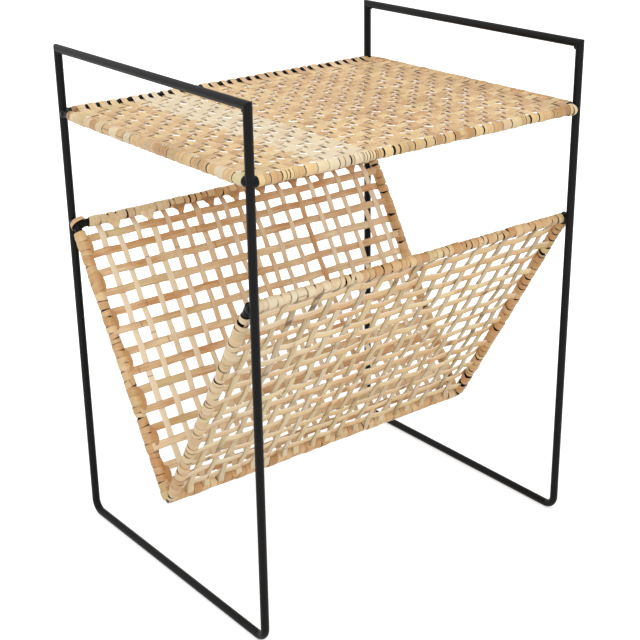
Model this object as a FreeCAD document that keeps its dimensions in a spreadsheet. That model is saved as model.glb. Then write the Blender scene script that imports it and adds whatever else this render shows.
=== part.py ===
import FreeCAD, Part
import math
import os

import Sketcher
from FreeCAD import Vector

# Magazine table with a rack: a frame of welded round rod, a close woven rattan top and a vee of open weave.
# Millimetres. X runs from left to right, Y from front to rear, Z up from the floor under the table's middle.

doc = FreeCAD.newDocument("magazine_table")

# Driving dimensions
SIZES = (
    ("frame_width", 455.0, "between the axes of the left and right side frames"),
    ("frame_depth", 370.0, "between the axes of the front and rear legs"),
    ("overall_height", 601.0, "from the floor to the top of the handle bars"),
    ("rod_diameter", 9.5, "every rod of the frame"),
    ("corner_radius", 14.0, "axis of the bend from leg to floor runner"),
    ("handle_rise", 74.0, "axes of the rails round the top to the axes of the handle bars"),
    ("rack_drop", 132.0, "axes of the rails round the top to the axes of the rack's rails"),
    ("rack_inset", 10.0, "leg axes to the axes of the rack's rails, which run inside the legs"),
    ("vee_height", 100.0, "axis of the rod along the bottom of the rack"),
    ("vee_bend_radius", 6.0, "axis of the tight bend at the foot of each vee rod"),
    ("strip_thickness", 1.2, "rattan strips of the table top"),
    ("lengthwise_count", 31, "strips that run from front to rear"),
    ("lengthwise_margin", 14.5, "side rail axis to the middle of the first front to rear strip"),
    ("lengthwise_gap", 3.2, "between neighbouring front to rear strips"),
    ("crosswise_count", 23, "strips that run from left to right"),
    ("crosswise_front_margin", 17.0, "front rail axis to the middle of the first left to right strip"),
    ("crosswise_rear_margin", 32.0, "rear rail axis to the middle of the last left to right strip"),
    ("crosswise_gap", 3.6, "between neighbouring left to right strips"),
    ("rack_strip_thickness", 1.0, "rattan strips of the rack's open weave"),
    ("vertical_count", 19, "strips down each rack panel"),
    ("vertical_width", 7.6, "a strip down the panel"),
    ("vertical_margin", 23.25, "vee rod axis to the middle of the first strip"),
    ("horizontal_count", 14, "strips along each rack panel"),
    ("horizontal_width", 9.0, "a strip along the panel"),
    ("horizontal_top_margin", 19.4, "rack rail axis to the middle of the top strip"),
    ("horizontal_foot_margin", 17.6, "bottom rod axis to the middle of the lowest strip"),
    ("winding_thickness", 1.6, "rattan ribbon wound round the rack's rods"),
    ("winding_gap", 1.5, "between neighbouring turns of a winding"),
    ("rail_turns", 19, "turns round a rack rail or the bottom rod"),
    ("arm_turns", 14, "turns round one arm of a vee rod"),
    ("rail_bare_end", 8.0, "vee rod axis to the start of a rail's winding"),
    ("arm_bare_top", 11.0, "rack rail axis to the start of an arm's winding, along the arm"),
    ("arm_bare_foot", 6.0, "end of an arm's winding to the start of the bend"),
    ("seat_clearance", 0.05, "between a strip and what it lies on"),
    ("end_clearance", 0.2, "between the end of a rack strip and the winding that it meets"),
)

# A strip bends over a rail, and a ribbon winds round a rod, in this many flats to a full turn
FLATS_PER_TURN = 8
# Corners of a strip's hook, as shares of a full turn from level and outwards,
# from the top of the rail to the tail
HOOK_CORNER_SHARES = (3 / 16, 1 / 16, -1 / 16, -3 / 16, -5 / 16)

RUNNER_HEIGHT = "Sheet.rod_diameter / 2"
HANDLE_HEIGHT = "Sheet.overall_height - Sheet.rod_diameter / 2"
TABLE_RAIL_HEIGHT = f"{HANDLE_HEIGHT} - Sheet.handle_rise"
RACK_RAIL_HEIGHT = f"{TABLE_RAIL_HEIGHT} - Sheet.rack_drop"
RACK_REACH = "(Sheet.frame_depth / 2 - Sheet.rack_inset)"

sheet = doc.addObject("Spreadsheet::Sheet", "Sheet")
for row, (alias, value, note) in enumerate(SIZES, start=1):
    sheet.set(f"A{row}", alias)
    sheet.set(f"B{row}", str(value))
    sheet.set(f"C{row}", note)
    sheet.setAlias(f"B{row}", alias)
doc.recompute()


def size(expression):
    """The value of a named dimension, or of an expression in the sheet's names."""
    return sheet.evalExpression(expression)


def bind(item, bindings):
    """Bind properties of a document object to expressions in the sheet's names."""
    for name, expression in bindings.items():
        item.setExpression(name, expression)


# Frame rods


def straight_rod(name, axis, length, base):
    """A round rod along axis, with its length and the place of its start as expressions."""
    rod = doc.addObject("Part::Cylinder", name)
    rod.Placement.Rotation = FreeCAD.Rotation(Vector(0, 0, 1), axis)
    bind(rod, {"Radius": "Sheet.rod_diameter / 2", "Height": length})
    bind(rod, {f"Placement.Base.{letter}": place for letter, place in base.items()})
    return rod


def coped_rod(label, rod, neighbours):
    """The rod with its ends coped to the rods that it is welded to."""
    for neighbour in neighbours:
        cut = doc.addObject("Part::Cut", f"{label}_cope")
        cut.Base = rod
        cut.Tool = neighbour
        rod = cut
    rod.Label = label
    return rod


def origin_plane(body, role):
    """One of a body's own origin planes."""
    return next(feature for feature in body.Origin.OriginFeatures if feature.Role == role)


def body_sketch(body, name, role):
    """An empty sketch on one of the body's origin planes."""
    sketch = body.newObject("Sketcher::SketchObject", name)
    sketch.AttachmentSupport = [(origin_plane(body, role), "")]
    sketch.MapMode = "FlatFace"
    return sketch


def constrain(sketch, dimensions):
    """Add named dimensions to a sketch: each a constraint's arguments and the expression that sets it."""
    for name, (arguments, expression) in dimensions.items():
        index = sketch.addConstraint(Sketcher.Constraint(*arguments, size(expression)))
        sketch.renameConstraint(index, name)
        sketch.setExpression(f"Constraints.{name}", expression)


def bent_rod(name, side, axis_height, draw_half_path):
    """A rod bent alike to front and rear: half of it is swept from the middle, then mirrored."""
    body = doc.addObject("PartDesign::Body", name)
    path = body_sketch(body, f"{name}_path", "YZ_Plane")
    draw_half_path(path)
    section = body_sketch(body, f"{name}_section", "XZ_Plane")
    centre = Vector(0, size(axis_height), 0)
    section.addGeometry(Part.Circle(centre, Vector(0, 0, 1), size("rod_diameter / 2")))
    section.addConstraint(Sketcher.Constraint("PointOnObject", 0, 3, -2))
    constrain(section, {
        "axis_height": (("DistanceY", -1, 1, 0, 3), axis_height),
        "rod": (("Diameter", 0), "Sheet.rod_diameter"),
    })
    doc.recompute()
    sweep = body.newObject("PartDesign::AdditivePipe", f"{name}_sweep")
    sweep.Profile = section
    sweep.Spine = path
    doc.recompute()
    mirror = body.newObject("PartDesign::Mirrored", f"{name}_mirror")
    mirror.Originals = [sweep]
    mirror.MirrorPlane = (origin_plane(body, "XZ_Plane"), [""])
    body.Tip = mirror
    bind(body, {"Placement.Base.x": f"{side} * Sheet.frame_width / 2"})
    return body


def draw_leg_path(sketch):
    """Half of a side frame: floor runner, bend and leg."""
    reach = size("frame_depth / 2")
    floor = size(RUNNER_HEIGHT)
    bend = size("corner_radius")
    centre = Vector(reach - bend, floor + bend, 0)
    sketch.addGeometry(Part.LineSegment(Vector(0, floor, 0), Vector(reach - bend, floor, 0)))
    sketch.addGeometry(Part.ArcOfCircle(Part.Circle(centre, Vector(0, 0, 1), bend), -math.pi / 2, 0))
    leg_top = Vector(reach, size(HANDLE_HEIGHT), 0)
    sketch.addGeometry(Part.LineSegment(Vector(reach, floor + bend, 0), leg_top))
    sketch.addConstraint([
        Sketcher.Constraint("Horizontal", 0),
        Sketcher.Constraint("Vertical", 2),
        Sketcher.Constraint("Tangent", 0, 2, 1, 1),
        Sketcher.Constraint("Tangent", 1, 2, 2, 1),
        Sketcher.Constraint("PointOnObject", 0, 1, -2),
    ])
    constrain(sketch, {
        "floor": (("DistanceY", -1, 1, 0, 1), RUNNER_HEIGHT),
        "bend": (("Radius", 1), "Sheet.corner_radius"),
        "reach": (("DistanceX", -1, 1, 2, 2), "Sheet.frame_depth / 2"),
        "top": (("DistanceY", -1, 1, 2, 2), HANDLE_HEIGHT),
    })


def vee_arm():
    """Slope and length, up to the rack rail, of a vee rod's arm, which leaves the bend at a tangent."""
    run = size(RACK_REACH)
    bend = size("vee_bend_radius")
    rise = size(RACK_RAIL_HEIGHT) - size("vee_height") - bend
    reach = math.hypot(run, rise)
    return math.atan2(rise, run) + math.asin(bend / reach), math.sqrt(reach ** 2 - bend ** 2)


def draw_vee_path(sketch):
    """Half of a vee rod: the tight bend at its foot and one arm, cut square just past the rack rail."""
    slope, _ = vee_arm()
    bend = size("vee_bend_radius")
    centre = Vector(0, size("vee_height") + bend, 0)
    arm_start = centre + Vector(math.sin(slope), -math.cos(slope), 0) * bend
    mouth = Vector(size(RACK_REACH), size(RACK_RAIL_HEIGHT), 0)
    arm_end = mouth + Vector(1, math.tan(slope), 0) * size("rack_inset / 4")
    circle = Part.Circle(centre, Vector(0, 0, 1), bend)
    sketch.addGeometry(Part.ArcOfCircle(circle, -math.pi / 2, slope - math.pi / 2))
    sketch.addGeometry(Part.LineSegment(arm_start, arm_end))
    sketch.addGeometry(Part.Point(mouth), True)
    sketch.addConstraint([
        Sketcher.Constraint("PointOnObject", 0, 3, -2),
        Sketcher.Constraint("PointOnObject", 0, 1, -2),
        Sketcher.Constraint("Tangent", 0, 2, 1, 1),
        Sketcher.Constraint("PointOnObject", 2, 1, 1),
    ])
    constrain(sketch, {
        "foot": (("DistanceY", -1, 1, 0, 1), "Sheet.vee_height"),
        "bend": (("Radius", 0), "Sheet.vee_bend_radius"),
        "mouth_reach": (("DistanceX", -1, 1, 2, 1), RACK_REACH),
        "mouth_height": (("DistanceY", -1, 1, 2, 1), RACK_RAIL_HEIGHT),
        "arm_end": (("DistanceX", -1, 1, 1, 2), f"{RACK_REACH} + Sheet.rack_inset / 4"),
    })


def cross_rod(name, depth, height):
    """A rod from the left side frame to the right one."""
    base = {"x": "-Sheet.frame_width / 2", "y": depth, "z": height}
    return straight_rod(name, Vector(1, 0, 0), "Sheet.frame_width", base)


def side_rail(name, width_side):
    """A table rail from a front leg to the rear leg behind it."""
    base = {
        "x": f"{width_side} * Sheet.frame_width / 2",
        "y": "-Sheet.frame_depth / 2",
        "z": TABLE_RAIL_HEIGHT,
    }
    return straight_rod(name, Vector(0, 1, 0), "Sheet.frame_depth", base)


def handle_bar(label, width_side):
    """A bar across the tops of two legs, flush with their outer sides."""
    base = {
        "x": f"{width_side} * Sheet.frame_width / 2",
        "y": "-(Sheet.frame_depth + Sheet.rod_diameter) / 2",
        "z": HANDLE_HEIGHT,
    }
    return straight_rod(label, Vector(0, 1, 0), "Sheet.frame_depth + Sheet.rod_diameter", base)


def frame_rods():
    """Every rod of the welded frame."""
    sides = {"left": -1, "right": 1}
    ends = {"front": -1, "rear": 1}
    handles = [handle_bar(f"{name}_handle_bar", side) for name, side in sides.items()]
    legs = []
    for (name, side), handle in zip(sides.items(), handles):
        rod = bent_rod(f"{name}_legs", side, RUNNER_HEIGHT, draw_leg_path)
        legs.append(coped_rod(f"{name}_leg_frame", rod, [handle]))
    table_rails = []
    for name, side in ends.items():
        rod = cross_rod(f"table_{name}", f"{side} * Sheet.frame_depth / 2", TABLE_RAIL_HEIGHT)
        table_rails.append(coped_rod(f"table_{name}_rail", rod, legs))
    side_rails = []
    vee_rods = []
    for (name, side), leg in zip(sides.items(), legs):
        rod = side_rail(f"table_{name}", side)
        side_rails.append(coped_rod(f"table_{name}_rail", rod, [leg, *table_rails]))
        rod = bent_rod(f"{name}_vee", side, "Sheet.vee_height", draw_vee_path)
        vee_rods.append(coped_rod(f"rack_{name}_vee_rod", rod, [leg]))
    rack_rods = []
    for name, side in ends.items():
        rod = cross_rod(f"rack_{name}", f"{side} * {RACK_REACH}", RACK_RAIL_HEIGHT)
        rack_rods.append(coped_rod(f"rack_{name}_rail", rod, vee_rods))
    rod = cross_rod("rack_bottom", "0", "Sheet.vee_height")
    rack_rods.append(coped_rod("rack_bottom_rod", rod, vee_rods))
    return [*handles, *legs, *table_rails, *side_rails, *rack_rods, *vee_rods]


# Woven and wound rattan


def group(label, solids):
    """One node of separate solids, worked out from the sheet."""
    item = doc.addObject("Part::Feature", label)
    item.Shape = Part.makeCompound(solids)
    item.Placement = FreeCAD.Placement()
    return item


def spaced(count, first, last):
    """Evenly spaced places from first to last."""
    step = (last - first) / (count - 1)
    return [first + step * index for index in range(int(count))]


def flat_face(points):
    """A plane face on a closed outline."""
    return Part.Face(Part.makePolygon([*points, points[0]]))


def corner_radius(inside):
    """Distance from the axis to the corners of flats that touch a circle of radius inside."""
    return inside / math.cos(math.pi / FLATS_PER_TURN)


def hook_corners(radius):
    """Corners, outwards and upwards from a rail's axis, of a strip's face bent round a circle of radius."""
    reach = corner_radius(radius)
    angles = [math.tau * share for share in HOOK_CORNER_SHARES]
    return [(reach * math.cos(angle), reach * math.sin(angle)) for angle in angles]


def hooked_face(radius, span, joggle_run, drop):
    """One face of a strip, hook tail to hook tail, as places along and above the axes of its rails."""
    half = [(span / 2 + out, up) for out, up in reversed(hook_corners(radius))]
    if drop:
        half.append((span / 2 - radius * math.tan(math.pi / FLATS_PER_TURN), radius))
        half.append((span / 2 - joggle_run, radius - drop))
    return half + [(-along, up) for along, up in reversed(half)]


def hooked_strips(label, span, places, width, along, across, joggle_run=0, drop=0):
    """Table strips side by side, each hooked over a rail at both ends."""
    inside = size("rod_diameter / 2 + seat_clearance")
    outside = inside + size("strip_thickness")
    outline = hooked_face(outside, span, joggle_run, drop)
    outline += reversed(hooked_face(inside, span, joggle_run, drop))
    level = Vector(0, 0, size(TABLE_RAIL_HEIGHT))
    points = [level + along * run + Vector(0, 0, up) for run, up in outline]
    strip = flat_face(points).extrude(across * width)
    return group(label, [strip.translated(across * (place - width / 2)) for place in places])


def table_weave():
    """The close woven top: front to rear strips lie over the left to right ones."""
    span_x = size("frame_width")
    span_y = size("frame_depth")
    edge_x = size("frame_width / 2 - lengthwise_margin")
    front_y = size("crosswise_front_margin - frame_depth / 2")
    rear_y = size("frame_depth / 2 - crosswise_rear_margin")
    places_x = spaced(size("lengthwise_count"), -edge_x, edge_x)
    places_y = spaced(size("crosswise_count"), front_y, rear_y)
    width_x = places_x[1] - places_x[0] - size("lengthwise_gap")
    width_y = places_y[1] - places_y[0] - size("crosswise_gap")
    drop = size("strip_thickness + seat_clearance")
    joggle_run = size("lengthwise_margin - seat_clearance") - width_x / 2
    right = Vector(1, 0, 0)
    rear = Vector(0, 1, 0)
    return [
        hooked_strips("table_lengthwise_strips", span_y, places_x, width_x, rear, right),
        hooked_strips("table_crosswise_strips", span_x, places_y, width_y, right, rear, joggle_run, drop),
    ]


def winding_radii():
    """Corner radii of the inner and outer faces of a winding."""
    inside = size("rod_diameter / 2 + seat_clearance")
    return corner_radius(inside), corner_radius(inside + size("winding_thickness"))


def rack_panel(name, side):
    """One open woven panel: straight strips down it, and strips along it that pass over and under them."""
    mouth = Vector(0, side * size(RACK_REACH), size(RACK_RAIL_HEIGHT))
    foot = Vector(0, 0, size("vee_height"))
    length = (foot - mouth).Length
    down = (foot - mouth).normalize()
    right = Vector(1, 0, 0)
    outward = right.cross(down) * side
    thickness = size("rack_strip_thickness")
    clear = winding_radii()[1] + size("end_clearance")

    edge = size("frame_width / 2 - vertical_margin")
    places = spaced(size("vertical_count"), -edge, edge)
    width = size("vertical_width")
    start = mouth + down * clear - right * (width / 2) - outward * (thickness / 2)
    run = down * (length - 2 * clear)
    corners = [start, start + right * width, start + right * width + run, start + run]
    strip = flat_face(corners).extrude(outward * thickness)
    verticals = group(f"rack_{name}_verticals", [strip.translated(right * place) for place in places])

    pitch = places[1] - places[0]
    swing = (thickness + size("seat_clearance")) / (1 - width / pitch)
    end = size("frame_width / 2") - clear
    foot_row = length - size("horizontal_foot_margin")
    rows = spaced(size("horizontal_count"), size("horizontal_top_margin"), foot_row)
    solids = []
    for row, drop in enumerate(rows):
        swings = [swing * (-1) ** (row + column) for column in range(len(places))]
        wave = list(zip([-end, *places, end], [0, *swings, 0]))
        top = mouth + down * (drop - size("horizontal_width / 2"))
        outer = [top + right * along + outward * (out + thickness / 2) for along, out in wave]
        inner = [top + right * along + outward * (out - thickness / 2) for along, out in wave]
        solids.append(flat_face(outer + inner[::-1]).extrude(down * size("horizontal_width")))
    return [verticals, group(f"rack_{name}_horizontals", solids)]


def winding(label, start, axis, length, turns):
    """One flat ribbon wound round a rod in flats, with its least gap to itself measured and printed."""
    pitch = (length + size("winding_gap")) / (turns + 1)
    width = pitch - size("winding_gap")
    inner, outer = winding_radii()
    level = axis.cross(Vector(0, 0, 1)).normalize()
    raised = level.cross(axis)
    sections = []
    for step in range(int(turns) * FLATS_PER_TURN + 1):
        angle = math.tau * step / FLATS_PER_TURN
        spoke = level * math.cos(angle) + raised * math.sin(angle)
        edge = start + axis * (pitch * step / FLATS_PER_TURN)
        across = axis * width
        inside = edge + spoke * inner
        outside = edge + spoke * outer
        sections.append([inside, inside + across, outside + across, outside])
    faces = [flat_face(sections[0][::-1]), flat_face(sections[-1])]
    for near, far in zip(sections, sections[1:]):
        for corner in range(4):
            after = (corner + 1) % 4
            faces.append(flat_face([near[corner], near[after], far[after]]))
            faces.append(flat_face([near[corner], far[after], far[corner]]))
    gap = min(
        (turn_after[corner] - turn[1]).Length
        for turn, turn_after in zip(sections, sections[FLATS_PER_TURN:])
        for corner in (0, 3)
    )
    print(f"{label}: least gap between turns {gap:.2f} mm")
    return group(label, [Part.Solid(Part.Shell(faces))])


def rack_windings():
    """The ribbons round the rack's rails, its bottom rod and the four arms of its vee rods."""
    half_width = size("frame_width / 2")
    reach = size(RACK_REACH)
    bare = size("rail_bare_end")
    slope, arm = vee_arm()
    arm_length = arm - size("arm_bare_top + arm_bare_foot")
    nodes = []
    rails = {
        "rack_front_rail_winding": (-reach, size(RACK_RAIL_HEIGHT)),
        "rack_rear_rail_winding": (reach, size(RACK_RAIL_HEIGHT)),
        "rack_bottom_rod_winding": (0, size("vee_height")),
    }
    for label, (depth, height) in rails.items():
        start = Vector(bare - half_width, depth, height)
        nodes.append(winding(label, start, Vector(1, 0, 0), 2 * (half_width - bare), size("rail_turns")))
    for name, width_side in {"left": -1, "right": 1}.items():
        for end, side in {"front": -1, "rear": 1}.items():
            axis = Vector(0, -side * math.cos(slope), -math.sin(slope))
            mouth = Vector(width_side * half_width, side * reach, size(RACK_RAIL_HEIGHT))
            start = mouth + axis * size("arm_bare_top")
            arm_name = f"rack_{name}_{end}_arm_winding"
            nodes.append(winding(arm_name, start, axis, arm_length, size("arm_turns")))
    return nodes


nodes = frame_rods() + table_weave() + rack_panel("front", -1) + rack_panel("rear", 1) + rack_windings()
doc.recompute()

for item in doc.Objects:
    if "Invalid" in item.State or "Error" in item.State:
        raise RuntimeError(f"{item.Label} did not recompute: {item.State}")
for node in nodes:
    if node.Shape.isNull() or not node.Shape.isValid():
        raise RuntimeError(f"{node.Label} has no valid shape")

os.makedirs("parts", exist_ok=True)
for node in nodes:
    node.Shape.exportStep(f"parts/{node.Label}.step")
    print(f"{node.Label}: {len(node.Shape.Solids)} solids, {node.Shape.Volume / 1000:.2f} cm3")
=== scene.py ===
"""Magazine table with rack: welded black rods, a close woven rattan top and an open woven rattan rack."""

import logging
import math
from dataclasses import dataclass
from enum import Enum
from typing import Any, Callable, Sequence

import bpy
import numpy as np
from mathutils import Matrix, Vector


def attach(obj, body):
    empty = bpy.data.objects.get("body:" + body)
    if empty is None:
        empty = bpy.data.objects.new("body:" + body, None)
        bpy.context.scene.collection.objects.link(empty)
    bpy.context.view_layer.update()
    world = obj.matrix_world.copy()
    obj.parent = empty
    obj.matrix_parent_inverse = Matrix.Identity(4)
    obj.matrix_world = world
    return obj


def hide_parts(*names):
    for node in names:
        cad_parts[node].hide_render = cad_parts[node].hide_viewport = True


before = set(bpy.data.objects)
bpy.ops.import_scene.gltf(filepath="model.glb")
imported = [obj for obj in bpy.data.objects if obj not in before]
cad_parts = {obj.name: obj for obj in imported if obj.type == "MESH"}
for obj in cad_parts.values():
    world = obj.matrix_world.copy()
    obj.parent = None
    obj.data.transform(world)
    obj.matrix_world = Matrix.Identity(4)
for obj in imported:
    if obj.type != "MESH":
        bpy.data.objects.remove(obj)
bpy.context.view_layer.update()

LOG = logging.getLogger("magazine_table")
MM = 0.001
SEED = 20


class Slot(Enum):
    """Material slots of the part's record."""

    FRAME = "black_frame"
    TOP = "rattan_top"
    RACK = "rattan_rack"
    WINDING = "rattan_winding"


class Side(Enum):
    """The two panels of the rack, with the way each lies from the middle of the table."""

    FRONT = -1
    REAR = 1


@dataclass(frozen=True)
class FrameSizes:
    """Axes and radii of the welded rods, in millimetres."""

    half_width: float = 227.5
    half_depth: float = 185.0
    rack_reach: float = 175.0
    rod_radius: float = 4.75
    handle_level: float = 596.25
    table_level: float = 522.25
    rack_level: float = 390.25
    foot_level: float = 100.0
    floor_bend: float = 14.0
    foot_bend: float = 6.0
    arm_past_share: float = 0.25

    @property
    def arm_slope(self) -> float:
        """Angle of a V rod's arm from level, in radians."""
        rise = self.rack_level - self.foot_level - self.foot_bend
        return math.atan2(rise, self.rack_reach) + math.asin(self.foot_bend / math.hypot(self.rack_reach, rise))

    @property
    def arm_end(self) -> tuple[float, float]:
        """Depth and height of the end of a V rod's arm, just past the rack rail."""
        past = (self.half_depth - self.rack_reach) * self.arm_past_share
        return self.rack_reach + past, self.rack_level + past * math.tan(self.arm_slope)


SIZES = FrameSizes()


def linear(code: str) -> tuple[float, float, float, float]:
    """Turns an sRGB hex colour into linear light.

    Args:
        code: colour such as "#E0BE8C".

    Returns:
        Red, green, blue and alpha.
    """
    parts = [int(code[i:i + 2], 16) / 255 for i in (1, 3, 5)]
    red, green, blue = (c / 12.92 if c <= 0.04045 else ((c + 0.055) / 1.055) ** 2.4 for c in parts)
    return red, green, blue, 1.0


def add_node(tree: bpy.types.NodeTree, kind: str, settings: dict[str, Any] | None = None,
             inputs: dict[Any, Any] | None = None) -> bpy.types.Node:
    """Adds one node with its settings, values and links.

    Args:
        tree: tree that the node goes into.
        kind: the node's type name.
        settings: properties of the node.
        inputs: a value, or an output socket to link, for each input by name or number.

    Returns:
        The new node.
    """
    node = tree.nodes.new(kind)
    for name, value in (settings or {}).items():
        setattr(node, name, value)
    for name, value in (inputs or {}).items():
        if isinstance(value, bpy.types.NodeSocket):
            tree.links.new(value, node.inputs[name])
        else:
            node.inputs[name].default_value = value
    return node


def new_material(name: str) -> tuple[bpy.types.Material, bpy.types.NodeTree]:
    """Makes a material with an empty node tree.

    Args:
        name: what the real material is.

    Returns:
        The material and its tree.
    """
    material = bpy.data.materials.new(name)
    material.use_nodes = True
    material.node_tree.nodes.clear()
    return material, material.node_tree


@dataclass(frozen=True)
class PowderCoat:
    """Steel rod with a baked black powder coat."""

    name: str = "black_powder_coated_steel"
    coat: str = "#090808"
    worn: str = "#100F10"
    grain_mm: float = 1.6
    grain_depth_mm: float = 0.15
    cloud_mm: float = 60.0
    roughness: float = 0.4

    def make(self) -> bpy.types.Material:
        """Builds the coat's nodes.

        Returns:
            The material.
        """
        # Satin black with a faint orange peel, whose low pebbles soften every highlight.
        # The real pebbles are about 0.4 mm, drawn coarser to show in the render.
        material, tree = new_material(self.name)
        place = add_node(tree, "ShaderNodeTexCoord").outputs["Object"]
        peel = add_node(tree, "ShaderNodeTexNoise", None,
                        {"Vector": place, "Scale": 1 / (self.grain_mm * MM), "Detail": 2.0}).outputs["Fac"]
        cloud = add_node(tree, "ShaderNodeTexNoise", None,
                         {"Vector": place, "Scale": 1 / (self.cloud_mm * MM), "Detail": 3.0}).outputs["Fac"]
        colour = add_node(tree, "ShaderNodeMix", {"data_type": "RGBA"},
                          {"Factor": cloud, 6: linear(self.coat), 7: linear(self.worn)}).outputs[2]
        rough = add_node(tree, "ShaderNodeMapRange", None,
                         {"Value": cloud, "To Min": self.roughness - 0.06,
                          "To Max": self.roughness + 0.08}).outputs["Result"]
        bump = add_node(tree, "ShaderNodeBump", None,
                        {"Height": peel, "Strength": 0.25,
                         "Distance": self.grain_depth_mm * MM}).outputs["Normal"]
        shader = add_node(tree, "ShaderNodeBsdfPrincipled", None,
                          {"Base Color": colour, "Roughness": rough, "Normal": bump, "IOR": 1.5,
                           "Specular IOR Level": 0.12})
        add_node(tree, "ShaderNodeOutputMaterial", None, {"Surface": shader.outputs["BSDF"]})
        return material


@dataclass(frozen=True)
class RattanPeel:
    """Split rattan: a glossy bark face and a matte inner face."""

    name: str
    straw: str = "#EACB98"
    honey: str = "#BE8A52"
    cream: str = "#EEE2C4"
    leaf: str = "#D3CC93"
    scar: str = "#8D5F36"
    pith: str = "#DCC49A"
    # Dark brown for real stains and for painted shade.
    stain_and_shade: str = "#6A5138"
    edge: str = "#8D5F36"
    far_edge: str = "#8D5F36"
    edge_strength: float = 0.42
    edge_start: float = 0.84
    fade: float = 0.6
    half_width_mm: float = 5.5
    fibre_mm: float = 1.0
    fibre_depth_mm: float = 0.3
    fibre_share: float = 1.3
    stretch_share: float = 1.1
    middle_shade: float = 1.17
    scars_apart_mm: float = 190.0
    bark_roughness: float = 0.4
    pith_roughness: float = 0.75

    def make(self) -> bpy.types.Material:
        """Builds the rattan's nodes.

        Returns:
            The material.
        """
        # Straw to honey strips with fine fibres running along them, paler and greener stretches,
        # a dark leaf scar now and then, a silky bark face and a dull inner face.
        # Rattan's fibres are about 0.4 mm apart, drawn coarser to show in the render.
        material, tree = new_material(self.name)
        read = {name: add_node(tree, "ShaderNodeAttribute", {"attribute_name": name}).outputs["Fac"]
                for name in ("along", "across", "strand", "tone", "pale", "bark")}

        def streaks(length_mm: float, breadth_mm: float, shift: float, detail: float) -> bpy.types.NodeSocket:
            """Draws noise out along the strip.

            Args:
                length_mm: length of a streak.
                breadth_mm: breadth of a streak.
                shift: how far strips differ.
                detail: how fine the noise is.

            Returns:
                The noise's value.
            """
            place = add_node(tree, "ShaderNodeCombineXYZ", None, {
                "X": read["along"], "Y": read["across"], "Z": read["strand"]}).outputs["Vector"]
            drawn = add_node(tree, "ShaderNodeMapping", None, {
                "Vector": place,
                "Scale": (1 / (length_mm * MM), 1 / (breadth_mm * MM), shift)}).outputs["Vector"]
            return add_node(tree, "ShaderNodeTexNoise", None,
                            {"Vector": drawn, "Scale": 1.0, "Detail": detail}).outputs["Fac"]

        fibre = streaks(45, self.fibre_mm, 61.0, 2.0)
        stretch = streaks(26, 9, 17.0, 3.0)
        green = streaks(120, 40, 29.0, 1.0)
        shade = read["tone"]
        for streak, share in ((stretch, self.stretch_share), (fibre, self.fibre_share)):
            shade = add_node(tree, "ShaderNodeMath", {"operation": "MULTIPLY_ADD"},
                             {0: streak, 1: share, 2: shade}).outputs[0]
        shade = add_node(tree, "ShaderNodeMath", {"operation": "SUBTRACT", "use_clamp": True},
                         {0: shade, 1: self.middle_shade}).outputs[0]
        greener = add_node(tree, "ShaderNodeMapRange", None,
                           {"Value": green, "From Min": 0.56, "From Max": 0.74,
                            "To Max": 0.45}).outputs["Result"]
        bleached = add_node(tree, "ShaderNodeMapRange", None,
                            {"Value": fibre, "To Min": 1.15, "To Max": 0.65}).outputs["Result"]
        paler = add_node(tree, "ShaderNodeMath", {"operation": "MULTIPLY", "use_clamp": True},
                         {0: read["pale"], 1: bleached}).outputs[0]
        joint = add_node(tree, "ShaderNodeMath", {"operation": "MULTIPLY_ADD"},
                         {0: read["strand"], 1: 0.37, 2: read["along"]}).outputs[0]
        joint = add_node(tree, "ShaderNodeMath", {"operation": "PINGPONG"},
                         {0: joint, 1: self.scars_apart_mm * MM}).outputs[0]
        scarred = add_node(tree, "ShaderNodeMapRange", None,
                           {"Value": joint, "From Min": 0.4 * MM, "From Max": 1.3 * MM,
                            "To Min": 0.55, "To Max": 0.0}).outputs["Result"]
        dull = add_node(tree, "ShaderNodeMapRange", None,
                        {"Value": read["bark"], "To Min": 1.0, "To Max": 0.0}).outputs["Result"]
        faded = add_node(tree, "ShaderNodeMath", {"operation": "MULTIPLY"}, {0: dull, 1: self.fade}).outputs[0]
        # Tones past 1.1 turn to a dark brown that paints real stains and painted shade: where top strips dive,
        # just under the rack rail and on the rear arm's loops.
        stained_and_shaded = add_node(tree, "ShaderNodeMapRange", None,
                           {"Value": read["tone"], "From Min": 1.1, "From Max": 2.1,
                            "To Max": 0.85}).outputs["Result"]
        # The strips' two edges take tints of their own: on the top these are its pale pith edges; on the
        # windings and the rear panel a darker edge, partly the cut edge and mostly painted shade between
        # strips; on the front panel painted shade along the near edge and a painted highlight along the far
        # edge, where it catches light from above.
        edge_colour_and_shade, far_edge_colour_light_and_shade = (
            add_node(tree, "ShaderNodeMapRange", None,
                     {"Value": read["across"], "From Min": edge * self.edge_start, "From Max": edge,
                      "To Max": self.edge_strength}).outputs["Result"]
            for edge in (-self.half_width_mm * MM, self.half_width_mm * MM))
        colour = linear(self.straw)
        for share, tint in ((shade, self.honey), (greener, self.leaf), (paler, self.cream),
                            (scarred, self.scar), (faded, self.pith), (stained_and_shaded, self.stain_and_shade),
                            (edge_colour_and_shade, self.edge), (far_edge_colour_light_and_shade, self.far_edge)):
            colour = add_node(tree, "ShaderNodeMix", {"data_type": "RGBA"},
                              {"Factor": share, 6: colour, 7: linear(tint)}).outputs[2]
        gloss = add_node(tree, "ShaderNodeMapRange", None,
                         {"Value": fibre, "To Min": self.bark_roughness - 0.08,
                          "To Max": self.bark_roughness + 0.12}).outputs["Result"]
        rough = add_node(tree, "ShaderNodeMix", None,
                         {0: dull, 2: gloss, 3: self.pith_roughness}).outputs[0]
        bump = add_node(tree, "ShaderNodeBump", None,
                        {"Height": fibre, "Strength": 0.5,
                         "Distance": self.fibre_depth_mm * MM}).outputs["Normal"]
        shader = add_node(tree, "ShaderNodeBsdfPrincipled", None,
                          {"Base Color": colour, "Roughness": rough, "Normal": bump, "IOR": 1.5})
        add_node(tree, "ShaderNodeOutputMaterial", None, {"Surface": shader.outputs["BSDF"]})
        return material


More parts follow.
